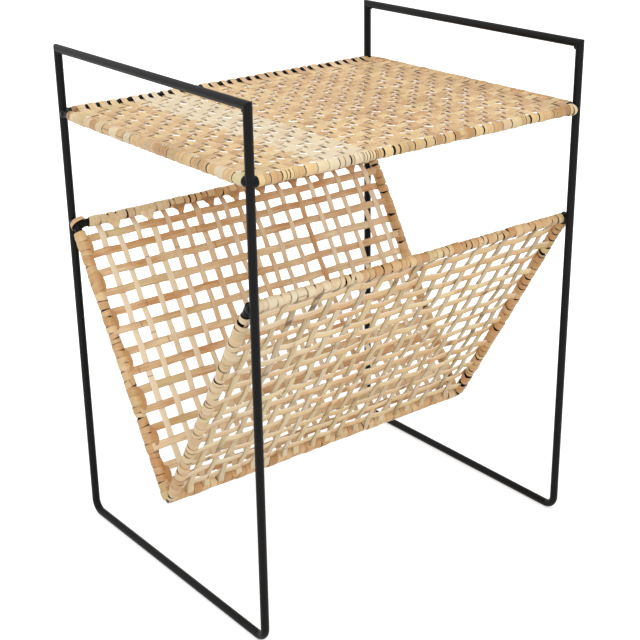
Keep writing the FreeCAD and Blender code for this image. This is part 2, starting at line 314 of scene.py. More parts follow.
def seen_rays(tree: bpy.types.NodeTree) -> bpy.types.NodeSocket:
    """Tells rays that show a thing to the camera from rays that carry its light to others.

    Args:
        tree: tree of the thing's finish.

    Returns:
        1 for a ray that comes straight, mirrored or through glass from the camera, and 0 for others.
    """
    rays = add_node(tree, "ShaderNodeLightPath").outputs
    seen = rays["Is Camera Ray"]
    for kind in ("Is Glossy Ray", "Is Transmission Ray"):
        seen = add_node(tree, "ShaderNodeMath", {"operation": "MAXIMUM"}, {0: seen, 1: rays[kind]}).outputs[0]
    return seen


@dataclass(frozen=True)
class StudioPaper:
    """White paper sweep under the table, which keeps the table's soft shadow."""

    name: str = "white_studio_paper"
    paper: str = "#E6E6E6"
    near_lift: float = 0.55
    far_lift: float = 1.0
    near_mm: float = 300.0
    far_mm: float = 1100.0
    tooth_mm: float = 3.0

    def make(self) -> bpy.types.Material:
        """Builds the paper's nodes.

        Returns:
            The material.
        """
        # Matte white, lifted for the camera so that all but the shadow burns out to white.
        material, tree = new_material(self.name)
        place = add_node(tree, "ShaderNodeTexCoord").outputs["Object"]
        away = add_node(tree, "ShaderNodeVectorMath", {"operation": "LENGTH"}, {0: place}).outputs["Value"]
        lift = add_node(tree, "ShaderNodeMapRange", {"interpolation_type": "SMOOTHSTEP"},
                        {"Value": away, "From Min": self.near_mm * MM, "From Max": self.far_mm * MM,
                         "To Min": self.near_lift, "To Max": self.far_lift}).outputs["Result"]
        lift = add_node(tree, "ShaderNodeMath", {"operation": "MULTIPLY"},
                        {0: seen_rays(tree), 1: lift}).outputs[0]
        tooth = add_node(tree, "ShaderNodeTexNoise", None,
                         {"Vector": place, "Scale": 1 / (self.tooth_mm * MM)}).outputs["Fac"]
        bump = add_node(tree, "ShaderNodeBump", None,
                        {"Height": tooth, "Strength": 0.05, "Distance": 0.1 * MM}).outputs["Normal"]
        shader = add_node(tree, "ShaderNodeBsdfPrincipled", None,
                          {"Base Color": linear(self.paper), "Roughness": 0.9, "Specular IOR Level": 0.0,
                           "Emission Color": (1.0, 1.0, 1.0, 1.0), "Emission Strength": lift, "Normal": bump})
        add_node(tree, "ShaderNodeOutputMaterial", None, {"Surface": shader.outputs["BSDF"]})
        return material


def new_object(name: str, mesh: bpy.types.Mesh) -> bpy.types.Object:
    """Links an object for a mesh at the origin.

    Args:
        name: the object's name.
        mesh: its mesh.

    Returns:
        The object.
    """
    thing = bpy.data.objects.new(name, mesh)
    bpy.context.scene.collection.objects.link(thing)
    return thing


def settle(thing: bpy.types.Object) -> bpy.types.Object:
    """Makes what an object's modifiers give its own plain mesh.

    Args:
        thing: object with live modifiers.

    Returns:
        The same object, with no modifiers.
    """
    graph = bpy.context.evaluated_depsgraph_get()
    mesh = bpy.data.meshes.new_from_object(thing.evaluated_get(graph))
    thing.modifiers.clear()
    drawn = thing.data
    thing.data = mesh
    bpy.data.meshes.remove(drawn)
    return thing


def hand_over(piece: bpy.types.Object, slot: Slot, *nodes: str) -> None:
    """Puts a finished piece on the table's one body in place of its solids.

    Args:
        piece: the finished piece.
        slot: not used.
        nodes: solids that it stands for.
    """
    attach(piece, "root")
    if nodes:
        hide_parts(*nodes)
    LOG.info("%s: %d faces, for %s", piece.name, len(piece.data.polygons), ", ".join(nodes) or "no solid")


def new_tree(name: str, inputs: Sequence[tuple[str, str]]) -> tuple[bpy.types.NodeTree, bpy.types.Node]:
    """Starts a tree that makes geometry.

    Args:
        name: what the tree makes.
        inputs: name and socket type of each input after the geometry.

    Returns:
        The tree and its input node.
    """
    tree = bpy.data.node_groups.new(name, "GeometryNodeTree")
    tree.is_modifier = True
    tree.interface.new_socket("Geometry", in_out="INPUT", socket_type="NodeSocketGeometry")
    for label, kind in inputs:
        tree.interface.new_socket(label, in_out="INPUT", socket_type=kind)
    tree.interface.new_socket("Geometry", in_out="OUTPUT", socket_type="NodeSocketGeometry")
    return tree, add_node(tree, "NodeGroupInput")


def end_tree(tree: bpy.types.NodeTree, shape: bpy.types.NodeSocket, material: bpy.types.NodeSocket) -> None:
    """Ends a tree with smooth, real geometry in its material.

    Args:
        tree: tree to end.
        shape: what it has made.
        material: the material's input.
    """
    smooth = add_node(tree, "GeometryNodeSetShadeSmooth", None, {"Geometry": shape}).outputs["Geometry"]
    real = add_node(tree, "GeometryNodeRealizeInstances", None, {"Geometry": smooth}).outputs["Geometry"]
    dressed = add_node(tree, "GeometryNodeSetMaterial", None,
                       {"Geometry": real, "Material": material}).outputs["Geometry"]
    add_node(tree, "NodeGroupOutput", None, {"Geometry": dressed})


def run_tree(thing: bpy.types.Object, tree: bpy.types.NodeTree, values: dict[str, Any]) -> bpy.types.Object:
    """Runs a tree on an object and keeps the result as a plain mesh.

    Args:
        thing: object whose mesh the tree starts from.
        tree: tree to run.
        values: value of each named input.

    Returns:
        The object with its finished mesh.
    """
    modifier = thing.modifiers.new(tree.name, "NODES")
    modifier.node_group = tree
    sockets = {s.name: s.identifier for s in tree.interface.items_tree
               if s.item_type == "SOCKET" and s.in_out == "INPUT"}
    for name, value in values.items():
        modifier[sockets[name]] = value
    return settle(thing)


def rod_tree() -> bpy.types.NodeTree:
    """Builds the tree that sweeps a round rod along a line.

    Returns:
        The tree.
    """
    tree, start = new_tree("rod_sweep", [("Rod Radius", "NodeSocketFloat"), ("Flats", "NodeSocketInt"),
                                         ("Material", "NodeSocketMaterial")])
    line = add_node(tree, "GeometryNodeMeshToCurve", None,
                    {"Mesh": start.outputs["Geometry"]}).outputs["Curve"]
    ring = add_node(tree, "GeometryNodeCurvePrimitiveCircle", {"mode": "RADIUS"},
                    {"Resolution": start.outputs["Flats"],
                     "Radius": start.outputs["Rod Radius"]}).outputs["Curve"]
    rod = add_node(tree, "GeometryNodeCurveToMesh", None,
                   {"Curve": line, "Profile Curve": ring, "Fill Caps": True}).outputs["Mesh"]
    end_tree(tree, rod, start.outputs["Material"])
    return tree


def bead_tree() -> bpy.types.NodeTree:
    """Builds the tree that sets a weld bead on each point, turned along its rod.

    Returns:
        The tree.
    """
    tree, start = new_tree("weld_beads", [("Bead", "NodeSocketObject"), ("Seed", "NodeSocketInt"),
                                          ("Material", "NodeSocketMaterial")])
    points = add_node(tree, "GeometryNodeMeshToPoints", None,
                      {"Mesh": start.outputs["Geometry"]}).outputs["Points"]
    way = add_node(tree, "GeometryNodeInputNamedAttribute", {"data_type": "FLOAT_VECTOR"},
                   {"Name": "way"}).outputs["Attribute"]
    scale = add_node(tree, "GeometryNodeInputNamedAttribute", {"data_type": "FLOAT"},
                     {"Name": "scale"}).outputs["Attribute"]
    spin = add_node(tree, "FunctionNodeRandomValue", {"data_type": "FLOAT"},
                    {2: 0.0, 3: math.tau, "Seed": start.outputs["Seed"]}).outputs[1]
    turned = add_node(tree, "FunctionNodeAxisAngleToRotation", None,
                      {"Axis": (0.0, 0.0, 1.0), "Angle": spin}).outputs["Rotation"]
    aimed = add_node(tree, "FunctionNodeAlignRotationToVector", {"axis": "Z"},
                     {"Vector": way}).outputs["Rotation"]
    both = add_node(tree, "FunctionNodeRotateRotation", {"rotation_space": "LOCAL"},
                    {"Rotation": aimed, "Rotate By": turned}).outputs["Rotation"]
    bead = add_node(tree, "GeometryNodeObjectInfo", None,
                    {"Object": start.outputs["Bead"]}).outputs["Geometry"]
    beads = add_node(tree, "GeometryNodeInstanceOnPoints", None,
                     {"Points": points, "Instance": bead, "Rotation": both,
                      "Scale": scale}).outputs["Instances"]
    end_tree(tree, beads, start.outputs["Material"])
    return tree


def strip_tree() -> bpy.types.NodeTree:
    """Builds the tree that sweeps a strip's section along each line, bark outwards.

    Returns:
        The tree.
    """
    tree, start = new_tree("rattan_strip_sweep", [("Section", "NodeSocketObject"),
                                                  ("Material", "NodeSocketMaterial")])
    lines = add_node(tree, "GeometryNodeMeshToCurve", None,
                     {"Mesh": start.outputs["Geometry"]}).outputs["Curve"]
    way = add_node(tree, "GeometryNodeInputNamedAttribute", {"data_type": "FLOAT_VECTOR"},
                   {"Name": "bark_way"}).outputs["Attribute"]
    wide = add_node(tree, "GeometryNodeInputNamedAttribute", {"data_type": "FLOAT"},
                    {"Name": "wide"}).outputs["Attribute"]
    lines = add_node(tree, "GeometryNodeSetCurveNormal", {"mode": "FREE"},
                     {"Curve": lines, "Normal": way}).outputs["Curve"]
    drawn = add_node(tree, "GeometryNodeObjectInfo", None,
                     {"Object": start.outputs["Section"]}).outputs["Geometry"]
    section = add_node(tree, "GeometryNodeMeshToCurve", None, {"Mesh": drawn}).outputs["Curve"]
    strips = add_node(tree, "GeometryNodeCurveToMesh", None,
                      {"Curve": lines, "Profile Curve": section, "Scale": wide,
                       "Fill Caps": True}).outputs["Mesh"]
    end_tree(tree, strips, start.outputs["Material"])
    return tree


def line_mesh(name: str, lines: Sequence[np.ndarray], closed: bool = False) -> bpy.types.Mesh:
    """Draws lines of points as a mesh of edges.

    Args:
        name: the mesh's name.
        lines: points of each line, in millimetres.
        closed: whether each line runs back to its start.

    Returns:
        The mesh, in metres.
    """
    edges, base = [], 0
    for line in lines:
        count = len(line)
        edges += [(base + i, base + i + 1) for i in range(count - 1)]
        if closed:
            edges.append((base + count - 1, base))
        base += count
    mesh = bpy.data.meshes.new(name)
    mesh.from_pydata((np.concatenate(lines) * MM).tolist(), edges, [])
    return mesh


def set_attribute(mesh: bpy.types.Mesh, name: str, values: np.ndarray) -> None:
    """Stores a number or a vector for each point of a mesh.

    Args:
        mesh: the mesh.
        name: the attribute's name.
        values: one row for each point.
    """
    kind, key = ("FLOAT_VECTOR", "vector") if values.ndim == 2 else ("FLOAT", "value")
    mesh.attributes.new(name, kind, "POINT").data.foreach_set(key, values.astype(np.float32).ravel())


def ease(share: np.ndarray) -> np.ndarray:
    """A smooth step from 0 to 1."""
    share = np.clip(share, 0.0, 1.0)
    return share * share * (3 - 2 * share)


@dataclass
class Strand:
    """One rattan strip as a line of points, with the way its bark faces."""

    points: np.ndarray
    bark: np.ndarray
    wide: np.ndarray
    tone: np.ndarray
    pale: np.ndarray


@dataclass(frozen=True)
class Section:
    """Cross section of a split rattan strip, in millimetres."""

    name: str
    width: float
    thickness: float
    crown: float = 0.25

    def draw(self) -> bpy.types.Object:
        """Draws the section round, bark side first.

        Returns:
            The section's object, which isn't rendered.
        """
        half, deep = self.width / 2, self.thickness / 2
        outline = [(0.35 * deep, -half), (deep, -0.8 * half), (deep + self.crown, 0.0), (deep, 0.8 * half),
                   (0.35 * deep, half), (-0.5 * deep, 0.97 * half), (-deep, 0.82 * half),
                   (-deep, -0.82 * half), (-0.5 * deep, -0.97 * half)]
        points = np.array([(x, y, 0.0) for x, y in outline])
        mesh = line_mesh(self.name, [points], closed=True)
        set_attribute(mesh, "across", points[:, 1] * MM)
        set_attribute(mesh, "bark", (points[:, 0] > 0).astype(float))
        thing = new_object(self.name, mesh)
        thing.hide_render = True
        return thing


class Weaver:
    """Turns strands into finished pieces of rattan."""

    sharp_angle: float = 50.0

    def __init__(self) -> None:
        """Builds the sweep's tree once for all the pieces."""
        self.tree = strip_tree()

    def weave(self, name: str, strands: Sequence[Strand], section: Section, finish: bpy.types.Material,
              slot: Slot, rng: np.random.Generator) -> None:
        """Sweeps strands into one piece, which replaces the solid of the same name.

        Args:
            name: name of the solid that the piece stands for.
            strands: the strips of the piece.
            section: their cross section.
            finish: their material.
            slot: the record's slot.
            rng: source of each strip's own place in the grain.
        """
        mesh = line_mesh(f"{name}_lines", [s.points for s in strands])
        along, strand = [], []
        for each in strands:
            steps = np.linalg.norm(np.diff(each.points, axis=0), axis=1)
            along.append(np.concatenate([[0.0], np.cumsum(steps)]) * MM + rng.uniform(0, 4))
            strand.append(np.full(len(each.points), rng.uniform(0, 1)))
        parts = {"bark_way": [s.bark for s in strands], "wide": [s.wide for s in strands],
                 "tone": [s.tone for s in strands], "pale": [s.pale for s in strands],
                 "along": along, "strand": strand}
        for label, values in parts.items():
            set_attribute(mesh, label, np.concatenate(values))
        drawn = section.draw()
        piece = run_tree(new_object(f"{name}_woven", mesh), self.tree, {"Section": drawn, "Material": finish})
        shape = drawn.data
        bpy.data.objects.remove(drawn)
        bpy.data.meshes.remove(shape)
        piece.data.set_sharp_from_angle(angle=math.radians(self.sharp_angle))
        hand_over(piece, slot, name)


@dataclass
class WeldedFrame:
    """Two bent side frames with their handle bars, the rails and V rods between them, and the welds."""

    sizes: FrameSizes = SIZES
    flats: int = 32
    bend_steps: int = 10
    sharp_angle: float = 40.0
    bead_flats: int = 24
    bead_ripple: float = 0.025
    bead_profile: Sequence[tuple[float, float]] = ((1.2, 5.0), (3.0, 5.6), (4.8, 5.95), (6.2, 5.85),
                                                   (7.5, 5.4), (8.8, 4.98), (10.2, 4.77))
    mitre_bead_inset: float = 1.6
    mitre_bead_scale: float = 0.62
    arm_bead_lift: float = 1.0

    def leg_line(self, side: int) -> np.ndarray:
        """Line of a side frame: down one leg, along the floor and up the other.

        Args:
            side: -1 on the left, 1 on the right.

        Returns:
            Points in millimetres.
        """
        s = self.sizes
        under_rail_shade, floor = s.floor_bend, s.rod_radius
        turn = np.linspace(0, math.pi / 2, self.bend_steps + 1)
        front = np.stack([-s.half_depth + under_rail_shade * (1 - np.cos(turn)), floor + under_rail_shade * (1 - np.sin(turn))], 1)
        run = np.concatenate([[(-s.half_depth, s.handle_level)], front,
                              front[::-1] * (-1, 1), [(s.half_depth, s.handle_level)]])
        return np.column_stack([np.full(len(run), side * s.half_width), run])

    def vee_line(self, side: int) -> np.ndarray:
        """Line of a V rod: down from the rear leg past the rack rail, round the tight bend and up again.

        Args:
            side: -1 on the left, 1 on the right.

        Returns:
            Points in millimetres.
        """
        s = self.sizes
        turn = np.linspace(s.arm_slope, -s.arm_slope, self.bend_steps + 1)
        arc = np.stack([s.foot_bend * np.sin(turn), s.foot_level + s.foot_bend * (1 - np.cos(turn))], 1)
        reach, level = s.arm_end
        run = np.concatenate([[(reach, level)], arc, [(-reach, level)]])
        return np.column_stack([np.full(len(run), side * s.half_width), run])

    def rods(self) -> dict[str, np.ndarray]:
        """Draws every rod.

        Returns:
            The line of each rod by the name of its solid.
        """
        s = self.sizes
        w, d = s.half_width, s.half_depth

        def straight(*ends: tuple[float, float, float]) -> np.ndarray:
            """A rod's line between two points."""
            return np.array(ends)

        return {
            "left_leg_frame": self.leg_line(-1),
            "right_leg_frame": self.leg_line(1),
            "left_handle_bar": straight((-w, -d, s.handle_level), (-w, d, s.handle_level)),
            "right_handle_bar": straight((w, -d, s.handle_level), (w, d, s.handle_level)),
            "table_front_rail": straight((-w, -d, s.table_level), (w, -d, s.table_level)),
            "table_rear_rail": straight((-w, d, s.table_level), (w, d, s.table_level)),
            "table_left_rail": straight((-w, -d, s.table_level), (-w, d, s.table_level)),
            "table_right_rail": straight((w, -d, s.table_level), (w, d, s.table_level)),
            "rack_front_rail": straight((-w, -s.rack_reach, s.rack_level), (w, -s.rack_reach, s.rack_level)),
            "rack_rear_rail": straight((-w, s.rack_reach, s.rack_level), (w, s.rack_reach, s.rack_level)),
            "rack_left_vee_rod": self.vee_line(-1),
            "rack_right_vee_rod": self.vee_line(1),
            "rack_bottom_rod": straight((-w, 0, s.foot_level), (w, 0, s.foot_level)),
        }

    def mitre(self, name: str, mesh: bpy.types.Mesh) -> None:
        """Cuts the top ends of the legs and the ends of the handle bars to meet at 45 degrees.

        Args:
            name: name of the rod's solid.
            mesh: the rod's mesh, which is changed.
        """
        s = self.sizes
        places = np.zeros(len(mesh.vertices) * 3)
        mesh.vertices.foreach_get("co", places)
        places = places.reshape(-1, 3)
        over = np.abs(places[:, 1]) - s.half_depth * MM
        if name.endswith("leg_frame"):
            top = places[:, 2] > (s.handle_level - 1) * MM
            places[top, 2] += over[top]
        else:
            rise = places[:, 2] - s.handle_level * MM
            places[:, 1] += np.sign(places[:, 1]) * rise
        mesh.vertices.foreach_set("co", places.ravel())
        mesh.update()

    def bead_form(self) -> bpy.types.Object:
        """Makes one weld bead round a rod, which flares from the rod to what it is welded to.

        Returns:
            The bead's object, which isn't rendered.
        """
        around, rows = self.bead_flats, len(self.bead_profile)
        ripple = 1 + self.bead_ripple * np.random.default_rng(SEED).standard_normal(around)
        turns = np.linspace(0, math.tau, around, endpoint=False)
        verts = [(r * math.cos(a) * ripple[k], r * math.sin(a) * ripple[k], z)
                 for z, r in self.bead_profile for k, a in enumerate(turns)]
        faces = [(j * around + k, j * around + (k + 1) % around, (j + 1) * around + (k + 1) % around,
                  (j + 1) * around + k) for j in range(rows - 1) for k in range(around)]
        faces += [tuple(reversed(range(around))), tuple(range((rows - 1) * around, rows * around))]
        mesh = bpy.data.meshes.new("weld_bead")
        mesh.from_pydata((np.array(verts) * MM).tolist(), [], faces)
        thing = new_object("weld_bead", mesh)
        thing.hide_render = True
        return thing

    def bead_places(self) -> tuple[np.ndarray, np.ndarray, np.ndarray]:
        """Finds the welds at the legs, at the mitred corners and at the foot of the rack.

        Returns:
            Where each weld is, the way its rod leaves it, and its size.
        """
        s = self.sizes
        beads = []
        for x in (-1, 1):
            for y in (-1, 1):
                corner = np.array([x * s.half_width, y * s.half_depth, 0.0])
                mouth = np.array([x * s.half_width, y * s.rack_reach, 0.0])
                aside, inside, inset = (-x, 0, 0), (0, -y, 0), self.mitre_bead_inset
                beads += [(corner + (0, 0, s.table_level), aside, 1.0),
                          (corner + (0, 0, s.table_level), inside, 1.0),
                          (mouth + (0, 0, s.rack_level), aside, 1.0),
                          (corner + (0, 0, s.rack_level + self.arm_bead_lift), inside, 1.0),
                          (corner + (0, -inset * y, s.handle_level - inset), (0, -y, -1),
                           self.mitre_bead_scale)]
            beads.append((np.array([x * s.half_width, 0.0, s.foot_level]), (-x, 0, 0), 1.0))
        places, ways, scales = zip(*beads)
        return np.array(places), np.array(ways, float), np.array(scales)

    def build(self, coat: bpy.types.Material) -> None:
        """Sweeps the rods and sets the weld beads.

        Args:
            coat: the powder coat.
        """
        tree = rod_tree()
        for name, line in self.rods().items():
            thing = new_object(f"{name}_rod", line_mesh(f"{name}_line", [line]))
            run_tree(thing, tree, {"Rod Radius": self.sizes.rod_radius * MM, "Flats": self.flats,
                                   "Material": coat})
            if name.endswith(("leg_frame", "handle_bar")):
                self.mitre(name, thing.data)
            thing.data.set_sharp_from_angle(angle=math.radians(self.sharp_angle))
            hand_over(thing, Slot.FRAME, name)
        places, ways, scales = self.bead_places()
        mesh = bpy.data.meshes.new("weld_places")
        mesh.from_pydata((places * MM).tolist(), [], [])
        set_attribute(mesh, "way", ways)
        set_attribute(mesh, "scale", scales)
        form = self.bead_form()
        beads = run_tree(new_object("weld_beads", mesh), bead_tree(),
                         {"Bead": form, "Seed": SEED, "Material": coat})
        bpy.data.objects.remove(form)
        hand_over(beads, Slot.FRAME)


def smooth_noise(rng: np.random.Generator, places: np.ndarray, spacing: float) -> np.ndarray:
    """Smooth random values along a line.

    Args:
        rng: source of the values.
        places: distances along the line.
        spacing: distance over which the values change.

    Returns:
        Values of about -1 to 1 at the places.
    """
    low, high = places.min(), places.max()
    count = max(4, int((high - low) / spacing) + 3)
    knots = rng.uniform(-1, 1, count)
    at = (places - low) / max(high - low, 1e-9) * (count - 1.001)
    left = at.astype(int)
    return knots[left] + (knots[left + 1] - knots[left]) * ease(at - left)


def facing(line: np.ndarray) -> np.ndarray:
    """Finds the way to the left of a line drawn in a plane.

    Args:
        line: the line's points.

    Returns:
        A way for each point, of length 1.
    """
    along = np.gradient(line, axis=0)
    across = np.stack([-along[:, 1], along[:, 0]], 1)
    return across / np.linalg.norm(across, axis=1, keepdims=True)


HOOK_POINTS = 20
POINTS_PER_CROSSING = 4


@dataclass
class WovenTop:
    """The close woven top: strips from front to rear and from side to side, hooked round the rails.

    Lengths are in millimetres. Hooks are shares of the strips' pitch, and the rear neck is a share of its hook.
    """

    sizes: FrameSizes = SIZES
    strip: Section = Section("top_strip", 10.8, 0.9, 0.3)
    lengthwise_count: int = 31
    lengthwise_margin: float = 14.5
    lengthwise_jitter: float = 0.6
    lengthwise_slack: tuple[float, float] = (-0.15, 0.25)
    lengthwise_widths: tuple[float, float] = (0.9, 0.98)
    lengthwise_tone: float = 0.42
    crosswise_count: int = 23
    crosswise_front_margin: float = 13.5
    crosswise_rear_margin: float = 35.0
    crosswise_jitter: float = 0.4
    crosswise_slack: tuple[float, float] = (0.0, 0.8)
    crosswise_widths: tuple[float, float] = (0.98, 1.06)
    crosswise_tone: float = 0.38
    tone_spread: float = 0.2
    tone_slope: float = 0.16
    tone_drift: float = 0.12
    tone_length: float = 60.0
    hook_tones: tuple[float, float] = (-0.4, 0.45)
    dive_tones: tuple[float, float] = (1.0, 2.4)
    drift: float = 0.9
    drift_length: float = 50.0
    weave_level: float = 526.6
    weave_rise: float = 1.0
    weave_flat: float = 3.4
    pairing: float = 1.2
    hook_radius: float = 5.35
    hook_turn: float = 4.9
    leave_share: float = 0.45
    leave_height: float = 0.86
    pale_from: float = -146.0
    pale_to: float = -72.0
    pale_rise: float = 5.0
    pale_fall: float = 16.0
    pale_range: tuple[float, float] = (0.45, 0.85)
    rear_hooks: Sequence[float] = (0.82, 0.7, 0.6, 0.93)
    rear_hook_odds: Sequence[float] = (0.35, 0.3, 0.2, 0.15)
    rear_spread: float = 1.22
    rear_spread_from: float = 40.0
    rear_spread_over: float = 6.0
    rear_neck: float = 0.7
    rear_neck_reach: float = 20.0
    rear_lean: float = 8.0
    front_shift: float = 0.8
    front_reach: float = 14.0
    front_gaps: Sequence[float] = (0.3, 0.9, 2.0, 3.4)
    front_gap_odds: Sequence[float] = (0.4, 0.25, 0.2, 0.15)
    gap_limit: float = 4.2
    band_odds: Sequence[float] = (0.64, 0.3, 0.06)
    band_shares: tuple[float, float] = (0.6, 1.4)
    band_tone_spread: float = 0.22
    band_tail: Sequence[tuple[float, float]] = ((4, 0.96), (8, 0.84), (12, 0.66))
    side_hooks: Sequence[float] = (0.99, 0.93, 0.86)
    side_hook_odds: Sequence[float] = (0.4, 0.35, 0.25)
    left_flare: float = 0.2
    left_flare_from: float = 36.0
    left_flare_over: float = 18.0
    left_lean: float = 1.5
    right_lean: float = 4.0
    edge_reach: float = 22.0
    split_places: tuple[float, float] = (-108.0, -64.0)
    faded_places: tuple[float, float] = (92.0, 135.0)
    most_faded: float = 0.45
    faded_hooks: Sequence[float] = (0.0, 0.35, 0.7)
    faded_hook_odds: Sequence[float] = (0.65, 0.25, 0.1)

    def run(self, start: float, end: float, crossings: np.ndarray, over: np.ndarray,
            radius: float) -> tuple[np.ndarray, np.ndarray]:
        """A strip seen from its edge, from hook tail to hook tail.

        Args:
            start: place of the rail that it starts at.
            end: place of the rail that it ends at.
            crossings: places of the strips that it crosses.
            over: 1 where it passes over, -1 where it passes under.
            radius: radius of the hooks' middle.

        Returns:
            Places along and above, and how far along the hook each point is, 0 off the hooks.
        """
        level, flat = self.sizes.table_level, self.weave_flat
        turn = np.linspace(self.hook_turn, 0.0, HOOK_POINTS)
        first = np.stack([start - radius * np.sin(turn), level + radius * np.cos(turn)], 1)
        last = np.stack([end + radius * np.sin(turn[::-1]), level + radius * np.cos(turn[::-1])], 1)
        gaps = np.diff(crossings)
        leave = level + radius * self.leave_height
        middle = [(start + self.leave_share * (crossings[0] - start), leave)]
        for k, (at, way) in enumerate(zip(crossings, over)):
            rise = way * self.weave_rise
            middle += [(at - flat, self.weave_level + 0.8 * rise), (at, self.weave_level + rise),
                       (at + flat, self.weave_level + 0.8 * rise)]
            if k < len(gaps):
                middle.append((at + gaps[k] / 2, self.weave_level + 0.1 * (way + over[k + 1])))
        middle.append((end - self.leave_share * (end - crossings[-1]), leave))
        line = np.concatenate([first, middle, last])
        hooked = np.concatenate([turn, np.zeros(len(middle)), turn[::-1]])
        return line, hooked

    def rows(self) -> np.ndarray:
        """Even places of the strips from side to side."""
        depth = self.sizes.half_depth
        return np.linspace(-depth + self.crosswise_front_margin, depth - self.crosswise_rear_margin,
                           self.crosswise_count)

    def places(self, rng: np.random.Generator) -> tuple[np.ndarray, np.ndarray]:
        """Places the strips, the ones from side to side in pairs.

        Args:
            rng: source of small shifts.

        Returns:
            Places of the strips from front to rear, and of those from side to side.
        """
        reach = self.sizes.half_width - self.lengthwise_margin
        lengthwise = np.linspace(-reach, reach, self.lengthwise_count)
        paired = np.where(np.arange(self.crosswise_count) % 2, -self.pairing, self.pairing)
        aside = rng.uniform(-self.lengthwise_jitter, self.lengthwise_jitter, self.lengthwise_count)
        ahead = rng.uniform(-self.crosswise_jitter, self.crosswise_jitter, self.crosswise_count)
        return lengthwise + aside, self.rows() + paired + ahead

    def paleness(self, places: np.ndarray) -> np.ndarray:
        """How pale the rattan is at places from left to right: one band of it is cream."""
        return ease((places - self.pale_from) / self.pale_rise) * ease((self.pale_to - places) / self.pale_fall)

    def strand(self, rng: np.random.Generator, line: np.ndarray, hooked: np.ndarray, place: float,
               axis: int, wide: np.ndarray, tone: float | np.ndarray, lean: np.ndarray,
               faded: float = 0.0) -> Strand:
        """Stands a strip's edge view up in the table.

        Args:
            rng: source of the strip's drift and tone.
            line: the strip seen from its edge.
            hooked: how far along the hook each point is.
            place: the strip's place across.
            axis: 0 for a strip from side to side, 1 for one from front to rear.
            wide: its width at each point, as a share of the section's.
            tone: its colour, from straw at 0 to honey at 1 and on to dark brown at 2, which paints stains and
                shade.
            lean: how far each point is moved sideways.
            faded: how pale its hooks are.

        Returns:
            The strand.
        """
        ways = facing(line)
        side = place + lean + self.drift * smooth_noise(rng, line[:, 0], self.drift_length) * (hooked == 0)
        points, bark = np.zeros((len(line), 3)), np.zeros((len(line), 3))
        points[:, axis], points[:, 1 - axis], points[:, 2] = line[:, 0], side, line[:, 1]
        bark[:, axis], bark[:, 2] = ways[:, 0], ways[:, 1]
        on_hook = hooked > 0.1
        tones = (tone + self.tone_drift * smooth_noise(rng, line[:, 0], self.tone_length)
                 + rng.uniform(*self.hook_tones) * on_hook)
        pale = self.paleness(points[:, 0]) * rng.uniform(*self.pale_range)
        return Strand(points, bark, wide, tones, np.maximum(pale, faded * on_hook))

    def lengthwise(self, rng: np.random.Generator, across: np.ndarray, crossings: np.ndarray) -> list[Strand]:
        """The strips from front to rear, whose hooks cover the front and rear rails.

        Args:
            rng: source of their widths and tones.
            across: places of the strips from left to right.
            crossings: places of the strips that they cross.

        Returns:
            The strands, each followed by the short bands beside its front hook.
        """
        strands, depth = [], self.sizes.half_depth
        pitch = 2 * (self.sizes.half_width - self.lengthwise_margin) / (self.lengthwise_count - 1)
        for k, place in enumerate(across):
            over = np.where((np.arange(len(crossings)) + k) % 2, -1, 1)
            radius = self.hook_radius + rng.uniform(*self.lengthwise_slack)
            line, hooked = self.run(-depth, depth, crossings, over, radius)
            at = line[:, 0]
            body = rng.uniform(*self.lengthwise_widths)
            shares, offsets, gaps = self.front_bands(rng, place)
            widths = (shares * pitch - gaps) / self.strip.width
            shifts = offsets * pitch - self.front_shift
            main = int(np.argmax(shares))
            hook = pitch / self.strip.width * rng.choice(self.rear_hooks, p=self.rear_hook_odds)
            spreading = ease((at - depth + self.rear_spread_from) / self.rear_spread_over)
            spread = body + (self.rear_spread - body) * spreading
            wide = np.where(hooked > 0.2, np.where(at < 0, widths[main], hook), spread)
            wide[(at > depth - self.rear_neck_reach) & (hooked == 0)] = self.rear_neck * hook
            lean = (self.rear_lean * np.clip((at - depth + self.edge_reach) / self.edge_reach, 0, 1)
                    + shifts[main] * ease((-at - depth + self.front_reach) / self.front_reach))
            tone = (self.lengthwise_tone + self.tone_spread * rng.standard_normal()
                    + self.tone_slope * place / self.sizes.half_width)
            low, high = self.faded_places
            faded = self.most_faded * rng.uniform() if low < place < high else 0.0
            strands.append(self.strand(rng, line, hooked, place, 1, wide, tone, lean, faded))
            for j in np.delete(np.arange(len(shares)), main):
                strands.append(self.short_band(rng, line[:HOOK_POINTS], place + shifts[j], widths[j], tone,
                                               faded))
        return strands

    def short_band(self, rng: np.random.Generator, hook: np.ndarray, place: float, wide: float, tone: float,
                   faded: float) -> Strand:
        """A narrow band beside a strip's front hook, whose tail runs in under the top.

        Args:
            rng: source of its tone.
            hook: the strip's front hook seen from its edge.
            place: the band's place from left to right.
            wide: its width, as a share of the section's.
            tone: the strip's colour.
            faded: how pale it is.

        Returns:
            The strand.
        """
        level, depth = self.sizes.table_level, self.sizes.half_depth
        tail = [(reach - depth, level + self.hook_radius * up) for reach, up in self.band_tail]
        line = np.concatenate([hook, tail])
        zero = np.zeros(len(line))
        held = np.concatenate([np.linspace(self.hook_turn, 0.0, HOOK_POINTS), np.zeros(len(tail))])
        tint = tone + self.band_tone_spread * rng.standard_normal()
        return self.strand(rng, line, held, place, 1, wide + zero, tint, zero, faded)

